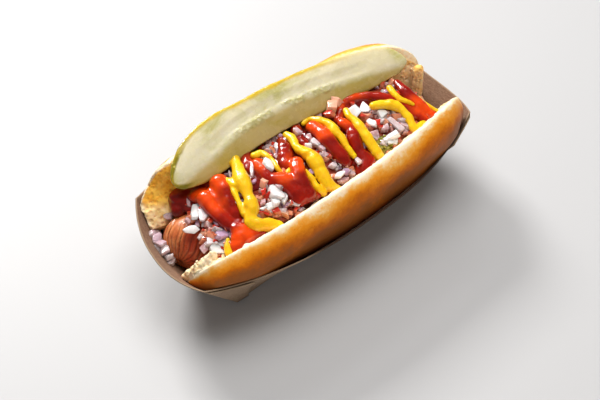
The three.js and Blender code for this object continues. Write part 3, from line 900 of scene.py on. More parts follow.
def keep_inside(p, tree, clearance, reach=12.0, walls_top=44):
    """Moves points that come nearer than clearance to the tray's inner face back inside it."""
    p = p.copy()
    for i in np.flatnonzero(p[:, 2] <= walls_top):
        place = Vector(p[i])
        hit, normal, _, _ = tree.find_nearest(place, reach)
        if hit is None:
            continue
        inward = -normal
        if inward.dot(TRAY_MIDDLE - hit) < 0:
            inward = -inward
        depth = (place - hit).dot(inward)
        if depth < clearance:
            p[i] = place + inward * (clearance - depth)
    return p


# ---------------------------------------------------------------- bun

# what is torn off the back half's left end, level by level: z, outer and inner corner of the torn face
TORN_BACK = [
    (6, (-61, 27), (-58, 24)), (18, (-65, 24), (-62, 22.5)), (24, (-67.5, 22.5), (-64, 21.5)),
    (27.5, (-69.8, 19.5), (-64.8, 18)), (30, (-70.6, 18.2), (-64.6, 16.6)),
    (33.5, (-70.2, 22.3), (-61, 17.8)), (36.3, (-68, 27.2), (-58, 19.2)),
    (38.5, (-65.5, 29.5), (-56, 21.2)), (41, (-62.6, 30), (-54.4, 22.6)), (44, (-60.6, 31), (-54, 22.8)),
    (47, (-59.6, 32), (-54, 22)), (50, (-57.5, 33), (-53, 22)), (56, (-54, 34), (-49, 22)),
]
# crumb standing up at the front half's left end: x, y, z, radius
TORN_FRONT = [
    (-72.6, -7.9, 26.0, 1.6), (-71.8, -9.5, 28.5, 1.8), (-71.1, -11.6, 31.5, 2.0),
    (-70.0, -13.2, 34.0, 2.1), (-68.7, -15.0, 36.5, 2.2), (-67.0, -16.1, 38.5, 2.2),
    (-65.3, -16.8, 40.0, 1.9),
]
# the upright torn slab at the back half's right end
SLAB = {"middle": (70.6, 2.6), "across": 2.8, "deep": 2.4, "z": (22, 43.8)}
SLAB_AXES = V([(0.725, -0.688), (0.688, 0.725)])  # across it and into its depth, seen from above
TUFT_STRETCH = 1.15
FLANK_BULGE = V([0, -2.4, -0.8])  # how far the front half's lower flank leans out over the tray's rim
SPLIT_Y = -4  # the front half lies before it and the back half behind it


def in_slab(p):
    """Distance from the slab's upright axis, 1 on its side."""
    across, deep = ((p[:, :2] - V(SLAB["middle"])) @ SLAB_AXES.T).T
    return ((across / SLAB["across"]) ** 4 + (deep / SLAB["deep"]) ** 4) ** 0.25


def torn_slab():
    turn = np.linspace(0, 2 * math.pi, 28, endpoint=False)
    across, deep = soft(np.cos(turn), 0.5) * SLAB["across"], soft(np.sin(turn), 0.5) * SLAB["deep"]
    flat = np.stack([across, deep], 1) @ SLAB_AXES
    foot, top = SLAB["z"]
    levels = ((foot, 0.8), (30, 1), (40, 1), (top - 1.4, 0.92), (top, 0.5))
    rings = [np.column_stack([V(SLAB["middle"]) + flat * size, np.full(len(flat), z)]) for z, size in levels]
    return loft("torn_slab", rings)


def torn_off():
    """The space that the tear at the back half's left end takes away."""
    rings = []
    for z, outer, inner in TORN_BACK:
        outer, inner = V(outer, float), V(inner, float)
        far = outer + (outer - inner) * 1.5
        rings.append([(*q, z) for q in (far, outer, inner, (-44, 8), (-44, -14), (-95, -14), (-95, far[1]))])
    return loft("torn_off", rings)


def bun_body(inside, bowl):
    """Both halves, the hinge and the torn bits as one mesh, with room for the pickle and the sausage."""
    pickle_room = loft("pickle_room", pickle_rings(50, 16, 10, grow=APART, room=14))
    sausage_room = loft("sausage_room", sausage_rings(40, 32, grow=APART))
    tear = torn_off()
    front, back = half_loft("front_half", FRONT), half_loft("back_half", BACK)
    cut(back, pickle_room)
    cut(back, tear)
    tufts = [blob(f"tuft{i}", x, y, z, r * TUFT_STRETCH, r, r) for i, (x, y, z, r) in enumerate(TORN_FRONT)]
    bun = joined("bread", [front, back, hinge_loft("hinge"), torn_slab(), *tufts])
    applied(bun, voxel(BREAD_FACE))
    cut(bun, sausage_room)
    cut(bun, bowl)
    applied(bun, voxel(BREAD_FACE), relax(5))
    for tool in (pickle_room, sausage_room, tear):
        bpy.data.objects.remove(tool)
    set_coords(bun, keep_inside(coords(bun), inside, 0.35, 3.0))
    return bun


class BreadPoints:
    """The bread's points, where they lie in their own half's section, and two noises for them."""

    def __init__(self, p):
        self.p, self.x, self.z = p, p[:, 0], p[:, 2]
        self.front = p[:, 1] < SPLIT_Y
        self.back = ~self.front
        self.off_cut, up, size = (np.where(self.front, *pair)
                                  for pair in zip(half_place(FRONT, p), half_place(BACK, p)))
        # up is 1 at the half's upper edge, and out is 1 where it is thickest
        self.up = up / (np.where(self.front, FRONT["half"], BACK["half"]) * size)
        self.out = self.off_cut / (np.where(self.front, FRONT["thick"], BACK["thick"]) * size)
        self.ribbed = self.back * ramp(self.x, 46, 56)
        self.wander = rough(p, 7, 3, 11)
        self.grain = rough(p, 2.2, 2, 23)


def crumb_shown(at):
    """Where crumb shows instead of crust, and where it is the torn left end of the back half."""
    power = 2 / 0.7
    inner = np.clip(at.out, 0, None) ** power + np.abs(at.up) ** power  # 1 on the crust, less inside
    lip = -0.5 + 0.3 * at.wander
    torn = at.back * ramp(at.x, -46, -50) * ramp(inner + 0.05 * at.wander + 0.03 * at.grain, 0.96, 0.86)
    crumb = np.maximum(ramp(at.off_cut, lip + 0.35, lip - 0.35), torn)
    for *place, r in TORN_FRONT:
        away = np.linalg.norm((at.p - V(place)) / V([TUFT_STRETCH, 1, 1]), axis=1)
        tuft = ramp(away - r + 0.5 * at.wander + 0.3 * at.grain, 1.0, 0.4)
        crumb = np.maximum(crumb, tuft * ramp(at.off_cut + at.wander, 3.4, 2.2))
    deep = 3.5 + 2 * at.wander
    right_end = at.back * ramp(at.x, 58, 62) * ramp(at.off_cut, deep + 1, deep) * ramp(at.up, 0.82, 0.72)
    crumb = np.maximum(crumb, np.maximum(right_end, ramp(in_slab(at.p), 1.4, 1.15)))
    underside = ramp(at.z, 9, 5) * ramp(np.abs(at.p[:, 1]), 18, 12)
    return crumb * (1 - underside), torn


def bread_relief(at, crumb):
    """How far each point moves out: wrinkled skin, crumb with holes or ridges, frayed edges between them."""
    p, wander, grain = at.p, at.wander, at.grain
    skin = 0.45 * rough(p, 17, 2, 31) + 0.14 * rough(p, V([3.2, 6, 3.5]), 3, 41)
    near, _, name = cells(p + 0.6 * np.stack([wander, grain, -wander], 1), 2.6, 51)
    small = cells(p, 1.35, 61)[0]
    holes = -0.9 * ramp(near, 0.55, 0.15) * (name > 0.35) - 0.3 * ramp(small, 0.5, 0.2)
    holed = holes * mix(1, 0.4, ramp(at.z, 40, 45)) + 0.55 * rough(p, 4.5, 3, 71) + 0.35 * grain
    in_slab_axes = np.column_stack([p[:, :2] @ SLAB_AXES.T, at.z])
    ridges = 0.7 * noise(in_slab_axes, V([1.5, 5, 18]), 81)
    loose = crumb * mix(holed, ridges, at.ribbed) + 0.45 * crumb * at.front * rough(p, 2.6, 2, 93)
    fray = ramp(crumb * (1 - crumb), 0.02, 0.25) * ramp(at.x, -40, -60)
    return (1 - crumb) * skin + loose + fray * (0.7 * grain + 0.5 * noise(p, 1.8, 91))


def baked(at):
    """How brown the crust is: pale along the cut, golden outside, browner on the flank's right part."""
    outward = np.where(at.up > 0, np.clip(at.out, 0, 1), 1.0 - 0.1 * at.up) + 0.04 * at.wander
    blotch = rough(at.p, V([22, 11, 11]), 2, 101)
    bake = (0.94 * ramp(outward, -0.10, 1.05) + 0.15 * ramp(at.x, 5, -35) * ramp(outward, 0.02, 0.3)
            + 0.3 * blotch * ramp(outward, 0.1, 0.5) + 0.08 * rough(at.p, 5, 2, 111))
    on_flank = ramp(outward, 0.03, 0.25) * ramp(outward, 0.9, 0.5)
    bake = bake + 0.08 * at.front * ramp(at.x, -20, 35) * on_flank
    bake = bake - 0.10 * ramp(at.up, -0.55, -0.9) + 0.05 * ramp(np.abs(at.x), 40, 66)
    return mix(bake, 0.46 + 0.2 * at.wander, at.back * ramp(at.x, -42, -50))


def pale_by_tear(at, p, torn):
    """The crust beside the torn left end, made pale: a painted highlight along its lit edge."""
    edge = np.flatnonzero(torn > 0.5)
    tree = KDTree(len(edge))
    for i in edge:
        tree.insert(p[i], i)
    tree.balance()
    beside = np.flatnonzero(at.back & (at.x < -44) & (torn < 0.5))
    away = V([tree.find(p[i])[2] for i in beside])
    pale = np.zeros(len(p))
    pale[beside] = 0.95 * ramp(away + 0.9 * at.wander[beside], 3.2, 1.2)
    return pale


def toasted(at, p, crumb, torn, inside):
    """Where the crumb is golden: on the torn left end except beside the tray's wall, and on the slab,
    deepest at its top as painted shade.
    """
    toast = torn * mix(0.45, 1, ramp(p[:, 2] + 2.5 * at.wander, 34.5, 38.5))
    patches = 0.25 * crumb * ramp(at.wander, 0.1, 0.5) * ramp(np.abs(at.x), 40, 60)
    # the slab's crumb grows more golden towards its top: painted shade that dulls its lit top
    slab = mix(0.3, 0.75, ramp(p[:, 2], 41, 43)) * crumb * at.ribbed
    toast = np.maximum(toast, np.maximum(patches, slab))
    at_wall = np.flatnonzero((torn > 0.3) & (at.x < -58))
    gap = V([inside.find_nearest(tuple(p[i]), 9.0)[3] or 9.0 for i in at_wall])
    toast[at_wall] *= ramp(gap + 0.5 * at.wander[at_wall], 0.8, 2.2)
    return np.clip(toast, 0, 1)


def make_bun(inside, bowl):
    """The bread: both halves and the hinge as one body, with browned crust outside and torn crumb inside."""
    bun = bun_body(inside, bowl)
    at = BreadPoints(coords(bun))
    crumb, torn = crumb_shown(at)
    flank = at.front * ramp(at.out, 0.15, 0.75) * ramp(at.up, 0.7, 0.1)
    bulge = (flank * ramp(at.x, -44, 0) * ramp(at.x, 74, 56))[:, None] * FLANK_BULGE
    p = at.p + normals(bun) * bread_relief(at, crumb)[:, None] + bulge
    p[:, 2] = np.maximum(p[:, 2], TRAY["board"] + APART)
    p = keep_inside(p, inside, 0.25)
    set_coords(bun, p)
    # pale carries the painted highlight beside the torn left end
    set_values(bun, crumb=crumb, bake=baked(at), pale=pale_by_tear(at, p, torn),
               toast=toasted(at, p, crumb, torn, inside))
    wear(bun, crust_material())
    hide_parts("bun")
    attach(bun, "root")


# ---------------------------------------------------------------- sausage and pickle

TIP = V([-68.2, 1.5, 23.2])  # where the skin gathers at the sausage's left end
WRINKLES = 22


def make_sausage(bowl):
    """The sausage, wrinkled where its skin gathers at the left end."""
    sausage = loft("sausage_body", sausage_rings(150, 110))
    cut(sausage, bowl)
    applied(sausage, voxel(SAUSAGE_FACE), relax(4))
    p, n = coords(sausage), normals(sausage)
    # angle round the gathered tip, from which the wrinkles fan out
    axis = V([0.80, 0.33, 0.50])
    axis /= np.linalg.norm(axis)
    side = np.cross(axis, V([0, 0, 1.0]))
    side /= np.linalg.norm(side)
    from_tip = p - TIP
    turn = np.arctan2(from_tip @ side, from_tip @ np.cross(side, axis))
    away = np.linalg.norm(from_tip, axis=1)
    phase = (turn + 0.12 * noise(p, 6, 5) + 0.04 * np.sin(away * 0.6)) * WRINKLES / (2 * math.pi)
    which = np.floor(phase + 0.5).astype(np.int64) % WRINKLES
    depth, reach = (chance(which, 0 * which + k, 0 * which, 9) for k in (0, 1))
    line = 1 - np.abs((phase + 0.5) % 1 - 0.5) * 2
    groove = ramp(line * (1 + 0.012 * away), 0.70, 1.0) * mix(0.35, 1.0, depth)
    groove = groove * ramp(away, 17 + 9 * reach, 8 + 4 * reach) * ramp(p[:, 0], -38, -48)
    pucker = ramp(away, 3.2, 0.5)
    set_coords(sausage, p + n * (0.18 * rough(p, 9, 3, 7) - 0.7 * groove - 0.9 * pucker)[:, None])
    # sauce: red towards the right and on the front-right side, away from the light: partly sauce, partly
    # painted shade
    to_front_right = p @ V([0.6, -0.75, 0.1]) + 2.5 * noise(p, 5, 3)
    # groove also darkens the skin's colour: painted shade in the wrinkles
    set_values(sausage, groove=np.clip(groove * 0.85 + pucker * 0.6, 0, 1),
               sauce=np.maximum(ramp(to_front_right, -41, -33) * 0.8, ramp(p[:, 0], -58, -50)))
    wear(sausage, sausage_material())
    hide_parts("sausage")
    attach(sausage, "root")


def make_pickle():
    """The spear, with a seed band along the ridge of its cut face."""
    pickle = loft("pickle_body", pickle_rings(200, 60, 56))
    applied(pickle, voxel(PICKLE_FACE), relax(5))
    p, n = coords(pickle), normals(pickle)
    x = p[:, 0]
    across, facing = pickle_axes()
    middle = spline(PICKLE["spine"], count=400)
    a = (p[:, 1:] - np.stack([np.interp(x, middle[:, 0], middle[:, k]) for k in (1, 2)], 1)) @ across
    half = PICKLE["width"] / 2
    facing_n = n[:, 1:] @ facing
    wander = noise(p, 5, 3)
    flesh = ramp(facing_n, 0.15, 0.55)

    # the ridge runs a little below the middle of the face
    ridge = -2.4 + 0.8 * noise(np.stack([x, 0 * x, 0 * x], 1), 18, 9)
    seeds = ramp(np.abs(a - ridge) + 0.5 * wander, 2.6, 1.0) * flesh
    seeds = seeds * ramp(x, -34, -22) * ramp(x, 44, 20) * ramp(wander, -0.5, 0.3)
    near, _, name = cells(p * V([0.5, 1, 1]), 1.5, 13)
    seed_relief = 0.28 * ramp(near, 0.5, 0.15) * (name > 0.45) - 0.16 * ramp(near, 0.4, 0.1) * (name < 0.2)
    hollow = -0.3 * ramp(np.abs(a - ridge - 3.6), 3.2, 0.6) * flesh * ramp(x, -46, -34) * ramp(x, 52, 38)
    warts = (1 - flesh) * (0.25 * rough(p, 5, 2, 21) + 0.35 * ramp(cells(p, 4.2, 25)[0], 0.25, 0.05))
    waves = 0.30 * rough(p, 14, 2, 33) + 0.04 * rough(p, V([5, 1.8, 1.8]), 2, 37) * flesh
    set_coords(pickle, p + n * (seeds * seed_relief + hollow + warts + waves)[:, None])

    # at the left end the rind shows all round the flesh
    start, end = PICKLE["spine"][0][0], PICKLE["spine"][-1][0]
    tip, power = PICKLE["left_tip"]
    to_outline = half * round_off(1 - (x - start) / (end - start) / tip, power) - np.abs(a)
    rind = ramp(to_outline + 0.3 * noise(p, 1.6, 4), 2.6, 1.7) * ramp(x, -36, -50) * ramp(a, -7.5, -4.5)
    edge = ramp(a + 1.5 * ramp(x, -26, -8) + 0.6 * wander, half - 2.6, half - 1.0) * flesh * ramp(x, 52, 20)
    set_values(pickle, skin=np.maximum(1 - flesh, rind), seeds=np.clip(seeds, 0, 1),
               # lower: flesh below the ridge, darker yellow: partly its own colour, partly painted shade
               lower=ramp(a, ridge + 0.5, ridge - 2.5) * flesh,
               milky=ramp(x + 3 * wander, 22, 38) * ramp(x, 63, 58) * ramp(a, ridge - 2, ridge + 1),
               # edge: the yellow flesh under the skin, and painted shade on the cut face's rounded margins
               edge=np.maximum(0.5 * ramp(facing_n, 0.92, 0.6) * flesh, edge))
    wear(pickle, pickle_material())
    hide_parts("pickle_spear")
    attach(pickle, "root")


# ---------------------------------------------------------------- diced toppings

def make_core():
    """The construction's heap with a juicy, lumpy top just under the single pieces."""
    core = bpy.data.objects.new("topping_core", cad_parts["diced_toppings"].data.copy())
    bpy.context.scene.collection.objects.link(core)
    applied(core, voxel(CORE_FACE), relax(6))
    p, n = coords(core), normals(core)
    near = cells(p, 3.4, 3)[0]
    top = ramp(n[:, 2], 0.35, 0.8) * ramp(p[:, 2], 30, 33) * ramp(p[:, 0], -54, -50)
    p[:, 2] += top * (crown(p[:, 0], p[:, 1]) - 0.9 + 0.9 * (0.45 - near) - p[:, 2])
    set_coords(core, p - n * (0.2 * (1 - top))[:, None])
    wear(core, core_material())
    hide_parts("diced_toppings")
    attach(core, "root")
    return core


def turned(rng, tilt, angle=None):
    """A lean of up to tilt radians after a turn to an angle in degrees, or after a free spin."""
    spin = rng.uniform(0, 2 * math.pi) if angle is None else math.radians(angle)
    lean_x, lean_y = rng.uniform(-tilt, tilt, 2)
    lean = Matrix.Rotation(lean_x, 3, "X") @ Matrix.Rotation(lean_y, 3, "Y")
    return V(lean @ Matrix.Rotation(spin, 3, "Z"))


class Pieces:
    """Collects the single pieces of one kind into one mesh."""

    def __init__(self, name):
        self.name, self.verts, self.faces, self.stain, self.skin, self.start = name, [], [], [], [], 0

    def add(self, verts, faces, place, rotation, stain, skin):
        self.verts.append(verts @ rotation.T + place)
        self.faces.append(faces + self.start)
        self.stain.append(np.clip(stain, 0, 1) + np.zeros(len(verts)))
        self.skin.append(skin + np.zeros(len(verts)))
        self.start += len(verts)

    def finish(self, material, slot):
        obj = new_object(self.name, np.concatenate(self.verts), np.concatenate(self.faces))
        set_values(obj, stain=np.concatenate(self.stain), skin=np.concatenate(self.skin))
        wear(obj, material)
        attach(obj, "root")


def chip(rng, long, wide, thick, corners=4, bend=0.1):
    """A cut piece, an uneven bent prism with soft edges: points, quads and how far up each point is."""
    angle = np.arange(corners) + rng.uniform(-0.3, 0.3, corners)
    angle = angle * 2 * math.pi / corners + rng.uniform(0, 6)
    radius = rng.uniform(0.8, 1.2, corners)
    corner = np.stack([np.cos(angle) * radius, np.sin(angle) * radius], 1)
    along_side = V([0.0, 0.1, 0.37, 0.63, 0.9])
    ring = mix(corner[:, None], np.roll(corner, -1, 0)[:, None], along_side[None, :, None])
    ring[:, 0] = 0.4 * ring[:, 0] + 0.3 * (ring[:, 1] + np.roll(ring[:, 4], 1, 0))
    ring = ring.reshape(-1, 2)
    ring = ring / np.abs(ring).max(0)
    count = len(ring)
    slant = rng.uniform(-0.4, 0.4, 2)
    inset = min(0.22, 0.2 * thick) / max(min(long, wide) / 2, 0.5)
    soft_edge = [(1 - 0.25 * inset, 1 - 0.3 * inset), (1, 1 - inset), (1, 0.55)]
    levels = [(-h, size) for h, size in soft_edge[::-1]] + [(-0.8, 1), (0.8, 1)] + soft_edge
    verts = np.concatenate([np.column_stack([ring * size, np.full(count, h)]) for h, size in levels])
    verts = verts * V([long / 2, wide / 2, thick / 2])
    verts[:, 1] *= 1 + rng.uniform(-0.3, 0.3) * verts[:, 0] / (long / 2)
    verts[:, :2] += slant * verts[:, 2:]
    verts[:, 2] -= bend * verts[:, 1] ** 2
    verts += 0.12 * noise(verts + rng.uniform(0, 99, 3), 2.2, 3)[:, None] * V([1, 1, 0.8])
    k = np.arange(count // 2 - 1)
    cap = np.stack([k, k + 1, count - 2 - k, count - 1 - k], 1)
    top = cap + (len(levels) - 1) * count
    faces = np.concatenate([loft_faces(len(levels), count, False), cap[:, ::-1], top])
    return verts, faces, np.repeat([(h + 1) / 2 for h, _ in levels], count)


# single pieces on top of the heap: x, y, height over the crown, angle in degrees, length, width, look
ONION_BITS = [
    (-56.1, 4.7, 1.4, -127, 8.8, 3.3, "white"), (-55.1, 0.9, 1.2, -134, 6.6, 3.5, "clear"),
    (-62.4, -0.4, 1.3, -34, 6.4, 3.2, "white"), (-53.8, 11.8, 1.0, -120, 6.2, 1.4, "pink"),
    (-55.4, -10.6, 0.6, -129, 6.9, 5.3, "purple"), (-59.7, -9.8, 0.2, -103, 5.0, 5.0, "clear"),
    (-60.1, -13.0, 0.2, -98, 7.4, 5.6, "white"), (-57.6, -13.8, 0.4, -60, 4.6, 4.0, "clear"),
    (-63.6, -9.5, 0.0, -155, 5.2, 3.3, "pink"), (-60.4, 4.0, 1.0, 152, 2.6, 2.8, "pink"),
    (-60.4, 16.9, -3.0, -94, 4.5, 3.3, "pink"), (-25.9, -10.6, 1.8, -37, 6.4, 5.2, "white"),
    (-28.2, -13.4, 2.4, -100, 7.2, 5.8, "white"), (-31.1, -15.0, 1.6, -133, 5.9, 3.9, "white"),
    (-27.5, -16.2, 1.8, -132, 6.7, 2.7, "white"), (-34.1, -14.9, 1.0, -105, 3.7, 3.1, "white"),
    (-36.9, -14.3, 0.8, -25, 3.3, 1.6, "white"), (-25.6, -11.6, 2.2, -121, 2.6, 2.6, "pink"),
    (-35.5, -12.5, 0.8, 0, 3.8, 2.2, "pink"), (-25.0, -19.8, 1.2, -62, 4.4, 3.1, "clear"),
    (-21.9, -1.1, 3.4, -104, 6.3, 3.2, "white"), (-27.7, 2.3, 1.6, -132, 8.0, 1.4, "clear"),
    (-8.9, 13.3, 0.6, 24, 5.5, 5.5, "pink"), (-12.6, 8.7, 0.6, -51, 3.7, 3.6, "pink"),
    (-10.4, 6.2, 1.2, -123, 4.4, 2.0, "clear"), (-14.1, 2.0, 0.4, -95, 4.1, 2.3, "pink"),
    (-5.7, 6.9, 1.8, -9, 2.7, 2.9, "purple"), (-34.5, 8.0, 0.6, -125, 3.2, 1.1, "clear"),
    (-31.2, -2.8, 1.2, 24, 2.2, 1.4, "purple"), (27.6, -0.6, 1.2, -85, 5.3, 5.5, "white"),
    (32.1, -2.4, 1.4, -126, 5.8, 5.4, "white"), (35.3, -9.1, 1.4, -41, 4.4, 5.7, "white"),
    (32.8, -11.7, 1.0, -83, 2.3, 3.5, "clear"), (28.3, -10.4, 1.2, -89, 4.4, 3.4, "white"),
    (25.2, -14.5, 0.6, -99, 3.9, 4.3, "pink"), (36.3, -16.6, 1.2, -85, 8.3, 2.5, "clear"),
    (40.7, -15.7, 0.8, -77, 7.3, 3.4, "clear"), (38.9, -18.4, 1.0, -76, 5.1, 2.0, "pink"),
    (41.6, -12.7, 0.8, -87, 3.7, 2.8, "pink"), (29.8, -19.8, 1.6, -12, 8.2, 3.2, "white"),
    (30.0, -21.7, 1.2, -10, 5.9, 3.0, "white"), (-0.5, -20.4, 1.4, -14, 5.1, 3.7, "white"),
    (2.9, -21.0, 1.4, -73, 2.5, 3.1, "purple"), (-9.8, -13.5, 1.6, -58, 2.3, 2.6, "purple"),
    (0.1, -15.6, 0.8, -51, 3.1, 2.6, "clear"), (4.0, -16.4, 0.8, -73, 3.0, 2.7, "clear"),
    (4.6, -21.7, 0.8, -120, 4.4, 2.9, "pink"), (-0.4, -22.8, 0.8, -12, 5.2, 2.1, "pink"),
    (2.5, 0.5, 1.2, -106, 3.8, 2.7, "pink"), (2.0, -3.4, 1.4, -105, 4.2, 3.2, "clear"),
    (2.1, -7.1, 1.2, -77, 4.0, 3.9, "pink"), (1.1, -10.2, 1.0, -86, 3.0, 2.7, "pink"),
    (-1.4, -3.5, 2.0, -59, 3.2, 2.5, "white"), (16.2, 8.6, 0.4, -83, 2.9, 3.6, "pink"),
    (45.9, -1.3, 0.8, -98, 2.6, 2.5, "purple"), (0.5, 4.9, 2.8, -79, 4.4, 2.8, "pink"),
    (9.1, -21.2, 3.6, -115, 5.0, 2.3, "clear"), (25.2, -15.8, 0.4, 15, 2.8, 2.6, "pink"),
    (31.1, -15.1, 0.6, -6, 4.1, 2.4, "pink"), (37.7, -20.9, 0.6, 8, 4.2, 1.6, "pink"),
    (18.9, -15.2, 0.8, -91, 3.6, 2.7, "clear"), (-5.1, 8.8, 1.6, -104, 3.7, 2.3, "purple"),
]
TOMATO_BITS = [
    (-29.0, -6.1, 1.4, -38, 3.7, 3.8, "pale"), (-31.6, -9.0, 1.0, -49, 2.3, 3.8, "red"),
    (-37.1, -16.5, 0.4, -52, 3.0, 2.2, "red"), (-33.5, -18.4, 0.6, -7, 3.5, 3.3, "red"),
    (-31.2, -21.2, 0.6, -81, 2.9, 3.6, "pale"), (-26.0, -21.6, 0.4, -13, 3.1, 2.0, "red"),
    (21.0, 6.4, 3.5, -125, 6.8, 4.6, "pale"), (24.9, 7.0, 3.2, -94, 5.4, 4.4, "pale"),
    (18.4, 4.4, 2.2, -82, 4.0, 4.0, "red"), (4.8, -18.8, 0.6, -64, 2.8, 2.7, "pale"),
    (3.4, -21.9, 0.4, -65, 3.3, 2.5, "red"), (2.5, -11.3, 0.4, -111, 3.4, 2.5, "red"),
    (30.7, 3.2, 0.6, -89, 3.2, 2.6, "red"), (-15.7, 4.8, 0.2, -76, 2.6, 2.2, "red"),
    (-61.2, -6.3, 0.0, -91, 3.2, 2.0, "red"), (28.4, -5.8, 0.4, -95, 2.8, 2.8, "red"),
    (30.3, -13.7, 0.2, -64, 2.9, 2.8, "red"),
]
# patches of small stained pieces between them: x, y, spread in x and y, pieces
STAINED = [
    (0, -5, 56, 20, 210), (-59, -10, 3.5, 6, 26), (-55, 3, 4, 9, 16), (36, -14, 9, 9, 40),
    (2, -8, 7, 14, 40), (-31, -14, 8, 8, 30), (-10, 8, 6, 6, 22),
]
RELISH = [
    (25.5, -20.5, 3.4, 4.2, 44), (22, -23, 4, 2, 12), (31, -23.5, 3, 1.5, 8),
]
# pieces wedged between the sausage's left end and the tray's wall: x, y, z, size
TRAY_ONIONS = [
    (-69, 16, 29.2, 5.6), (-69.5, 13, 29.5, 6.0), (-70.5, 10, 29.6, 5.6), (-71.5, 10.2, 27.0, 5.8),
    (-71, 7.3, 28.4, 6.2), (-71.3, 7.4, 26.0, 6.0), (-71.3, 5.7, 25.0, 5.6), (-71.3, 3.3, 24.4, 5.4),
    (-71, 4.4, 26.6, 5.2), (-68, 12.5, 22.5, 5.6), (-69, 9.5, 21.6, 5.6), (-69.4, 6, 21, 5.2),
    (-66, 16, 22, 5.4), (-66.5, 18.5, 26, 5.4),
]
# how stained a piece is, how purple its upper side, and how purple the whole
LOOKS = {"white": (0.0, 0.0, 0.0), "clear": (0.35, 0.15, 0.0), "pink": (0.8, 0.25, 0.0),
         "purple": (0.5, 1.0, 0.75)}
COVERED_Y = (-25, 13)  # how far the small pieces reach
LOOSE_CRUMBS, END_PIECES = 46, 80


def over_crown(x, y, lift):
    return V([x, y, crown(x, y) + lift])


def scattered(rng, patches):
    """Random places in patches of x, y, spread in x and y, number of pieces."""
    for cx, cy, sx, sy, count in patches:
        for _ in range(count):
            yield cx + sx * rng.uniform(-1, 1), cy + sy * rng.uniform(-1, 1)


def lay_listed(rng, onion, tomato):
    """The pieces that stand out, each in its own place."""
    for x, y, lift, angle, long, wide, look in ONION_BITS:
        thick = rng.uniform(1.3, 2.1)
        corners = 8 if look == "purple" else 2 * rng.integers(2, 4)
        verts, faces, up = chip(rng, long * 1.12, wide * 1.15, thick, corners)
        stain, tint, whole = LOOKS[look]
        rotation = turned(rng, 0.35, angle)
        # each piece is pinker and darker on its lower part: painted shade and painted red light from the
        # sauce beneath
        stain = stain + rng.uniform(-0.1, 0.1) + 0.25 * (1 - up)
        onion.add(verts, faces, over_crown(x, y, lift), rotation, stain,
                  np.maximum(ramp(up, 0.8, 1) * tint, whole))
    for x, y, lift, angle, long, wide, look in TOMATO_BITS:
        verts, faces, up = chip(rng, long, wide, min(long, wide) * 0.8, 4, 0.03)
        # tomato pieces are darker on their lower part: painted shade
        tomato.add(verts, faces, over_crown(x, y, lift), turned(rng, 0.4, angle),
                   (0.95 if look == "pale" else 0.3) - 0.3 * (1 - up), ramp(up, 0.8, 1) * (look == "red"))


def scatter_stained(rng, onion, tomato):
    """Small stained pieces between the others, kept dark partly as painted shade in the gaps."""
    for x, y in scattered(rng, STAINED):
        if not COVERED_Y[0] < y < COVERED_Y[1]:
            continue
        size = rng.uniform(2.4, 4.8)
        place = over_crown(x, y, rng.uniform(-0.9, 0.3))
        if rng.uniform() < 0.5:
            verts, faces, up = chip(rng, size, size * rng.uniform(0.6, 1), rng.uniform(1.2, 1.9))
            # onion pieces are pinker and darker on their lower part: painted shade
            onion.add(verts, faces, place, turned(rng, 0.8), rng.uniform(0.4, 1) + 0.2 * (1 - up),
                      ramp(up, 0.8, 1) * (rng.uniform() < 0.3) * 0.8)
        else:
            verts, faces, up = chip(rng, size, size * 0.8, size * 0.6, 4, 0.03)
            tomato.add(verts, faces, place, turned(rng, 0.8), rng.uniform(0, 0.6),
                       ramp(up, 0.8, 1) * (rng.uniform() < 0.5))


def wedge_in_tray(rng, onion, inside):
    """The pieces between the sausage's left end and the tray's wall."""
    for *place, size in TRAY_ONIONS:
        verts, faces, up = chip(rng, size * 0.9, size * 0.7, 1.8, 2 * rng.integers(2, 4))
        rotation = V(Matrix.Rotation(0.3, 3, "Y")) @ turned(rng, 0.7)
        verts = verts @ rotation.T + keep_inside(V([place], float), inside, 1.3)
        # a duller, pinker tone than the pieces on top: partly juice stain and partly painted shade in the
        # gap
        onion.add(keep_inside(verts, inside, 0.2), faces, 0, np.eye(3), rng.uniform(0.2, 0.6),
                  0.08 + ramp(up, 0.8, 1) * (rng.uniform() < 0.35) * 0.5)


def cover_right_end(rng, onion, tomato, core):
    """The heap's right end, where no sauce lies over it."""
    faces = [tuple(face.vertices) for face in core.data.polygons]
    heap = BVHTree.FromPolygons([tuple(place) for place in coords(core)], faces)
    for _ in range(END_PIECES):
        spot = heap.ray_cast((90, rng.uniform(-22, 4), rng.uniform(20, 43)), (-1, 0, 0))[0]
        if spot is None or spot.x < 50:
            continue
        size = rng.uniform(2.6, 4.6)
        kind = onion if rng.uniform() < 0.6 else tomato
        verts, faces, up = chip(rng, size, size * 0.8, 2.0)
        # the lower part of each piece gets more of its stained tone, which on onion is painted shade
        kind.add(verts, faces, V(spot) - V([0.2, 0, 0]), turned(rng, 1.4),
                 rng.uniform(0.1, 0.9) + 0.2 * (1 - up), 0)


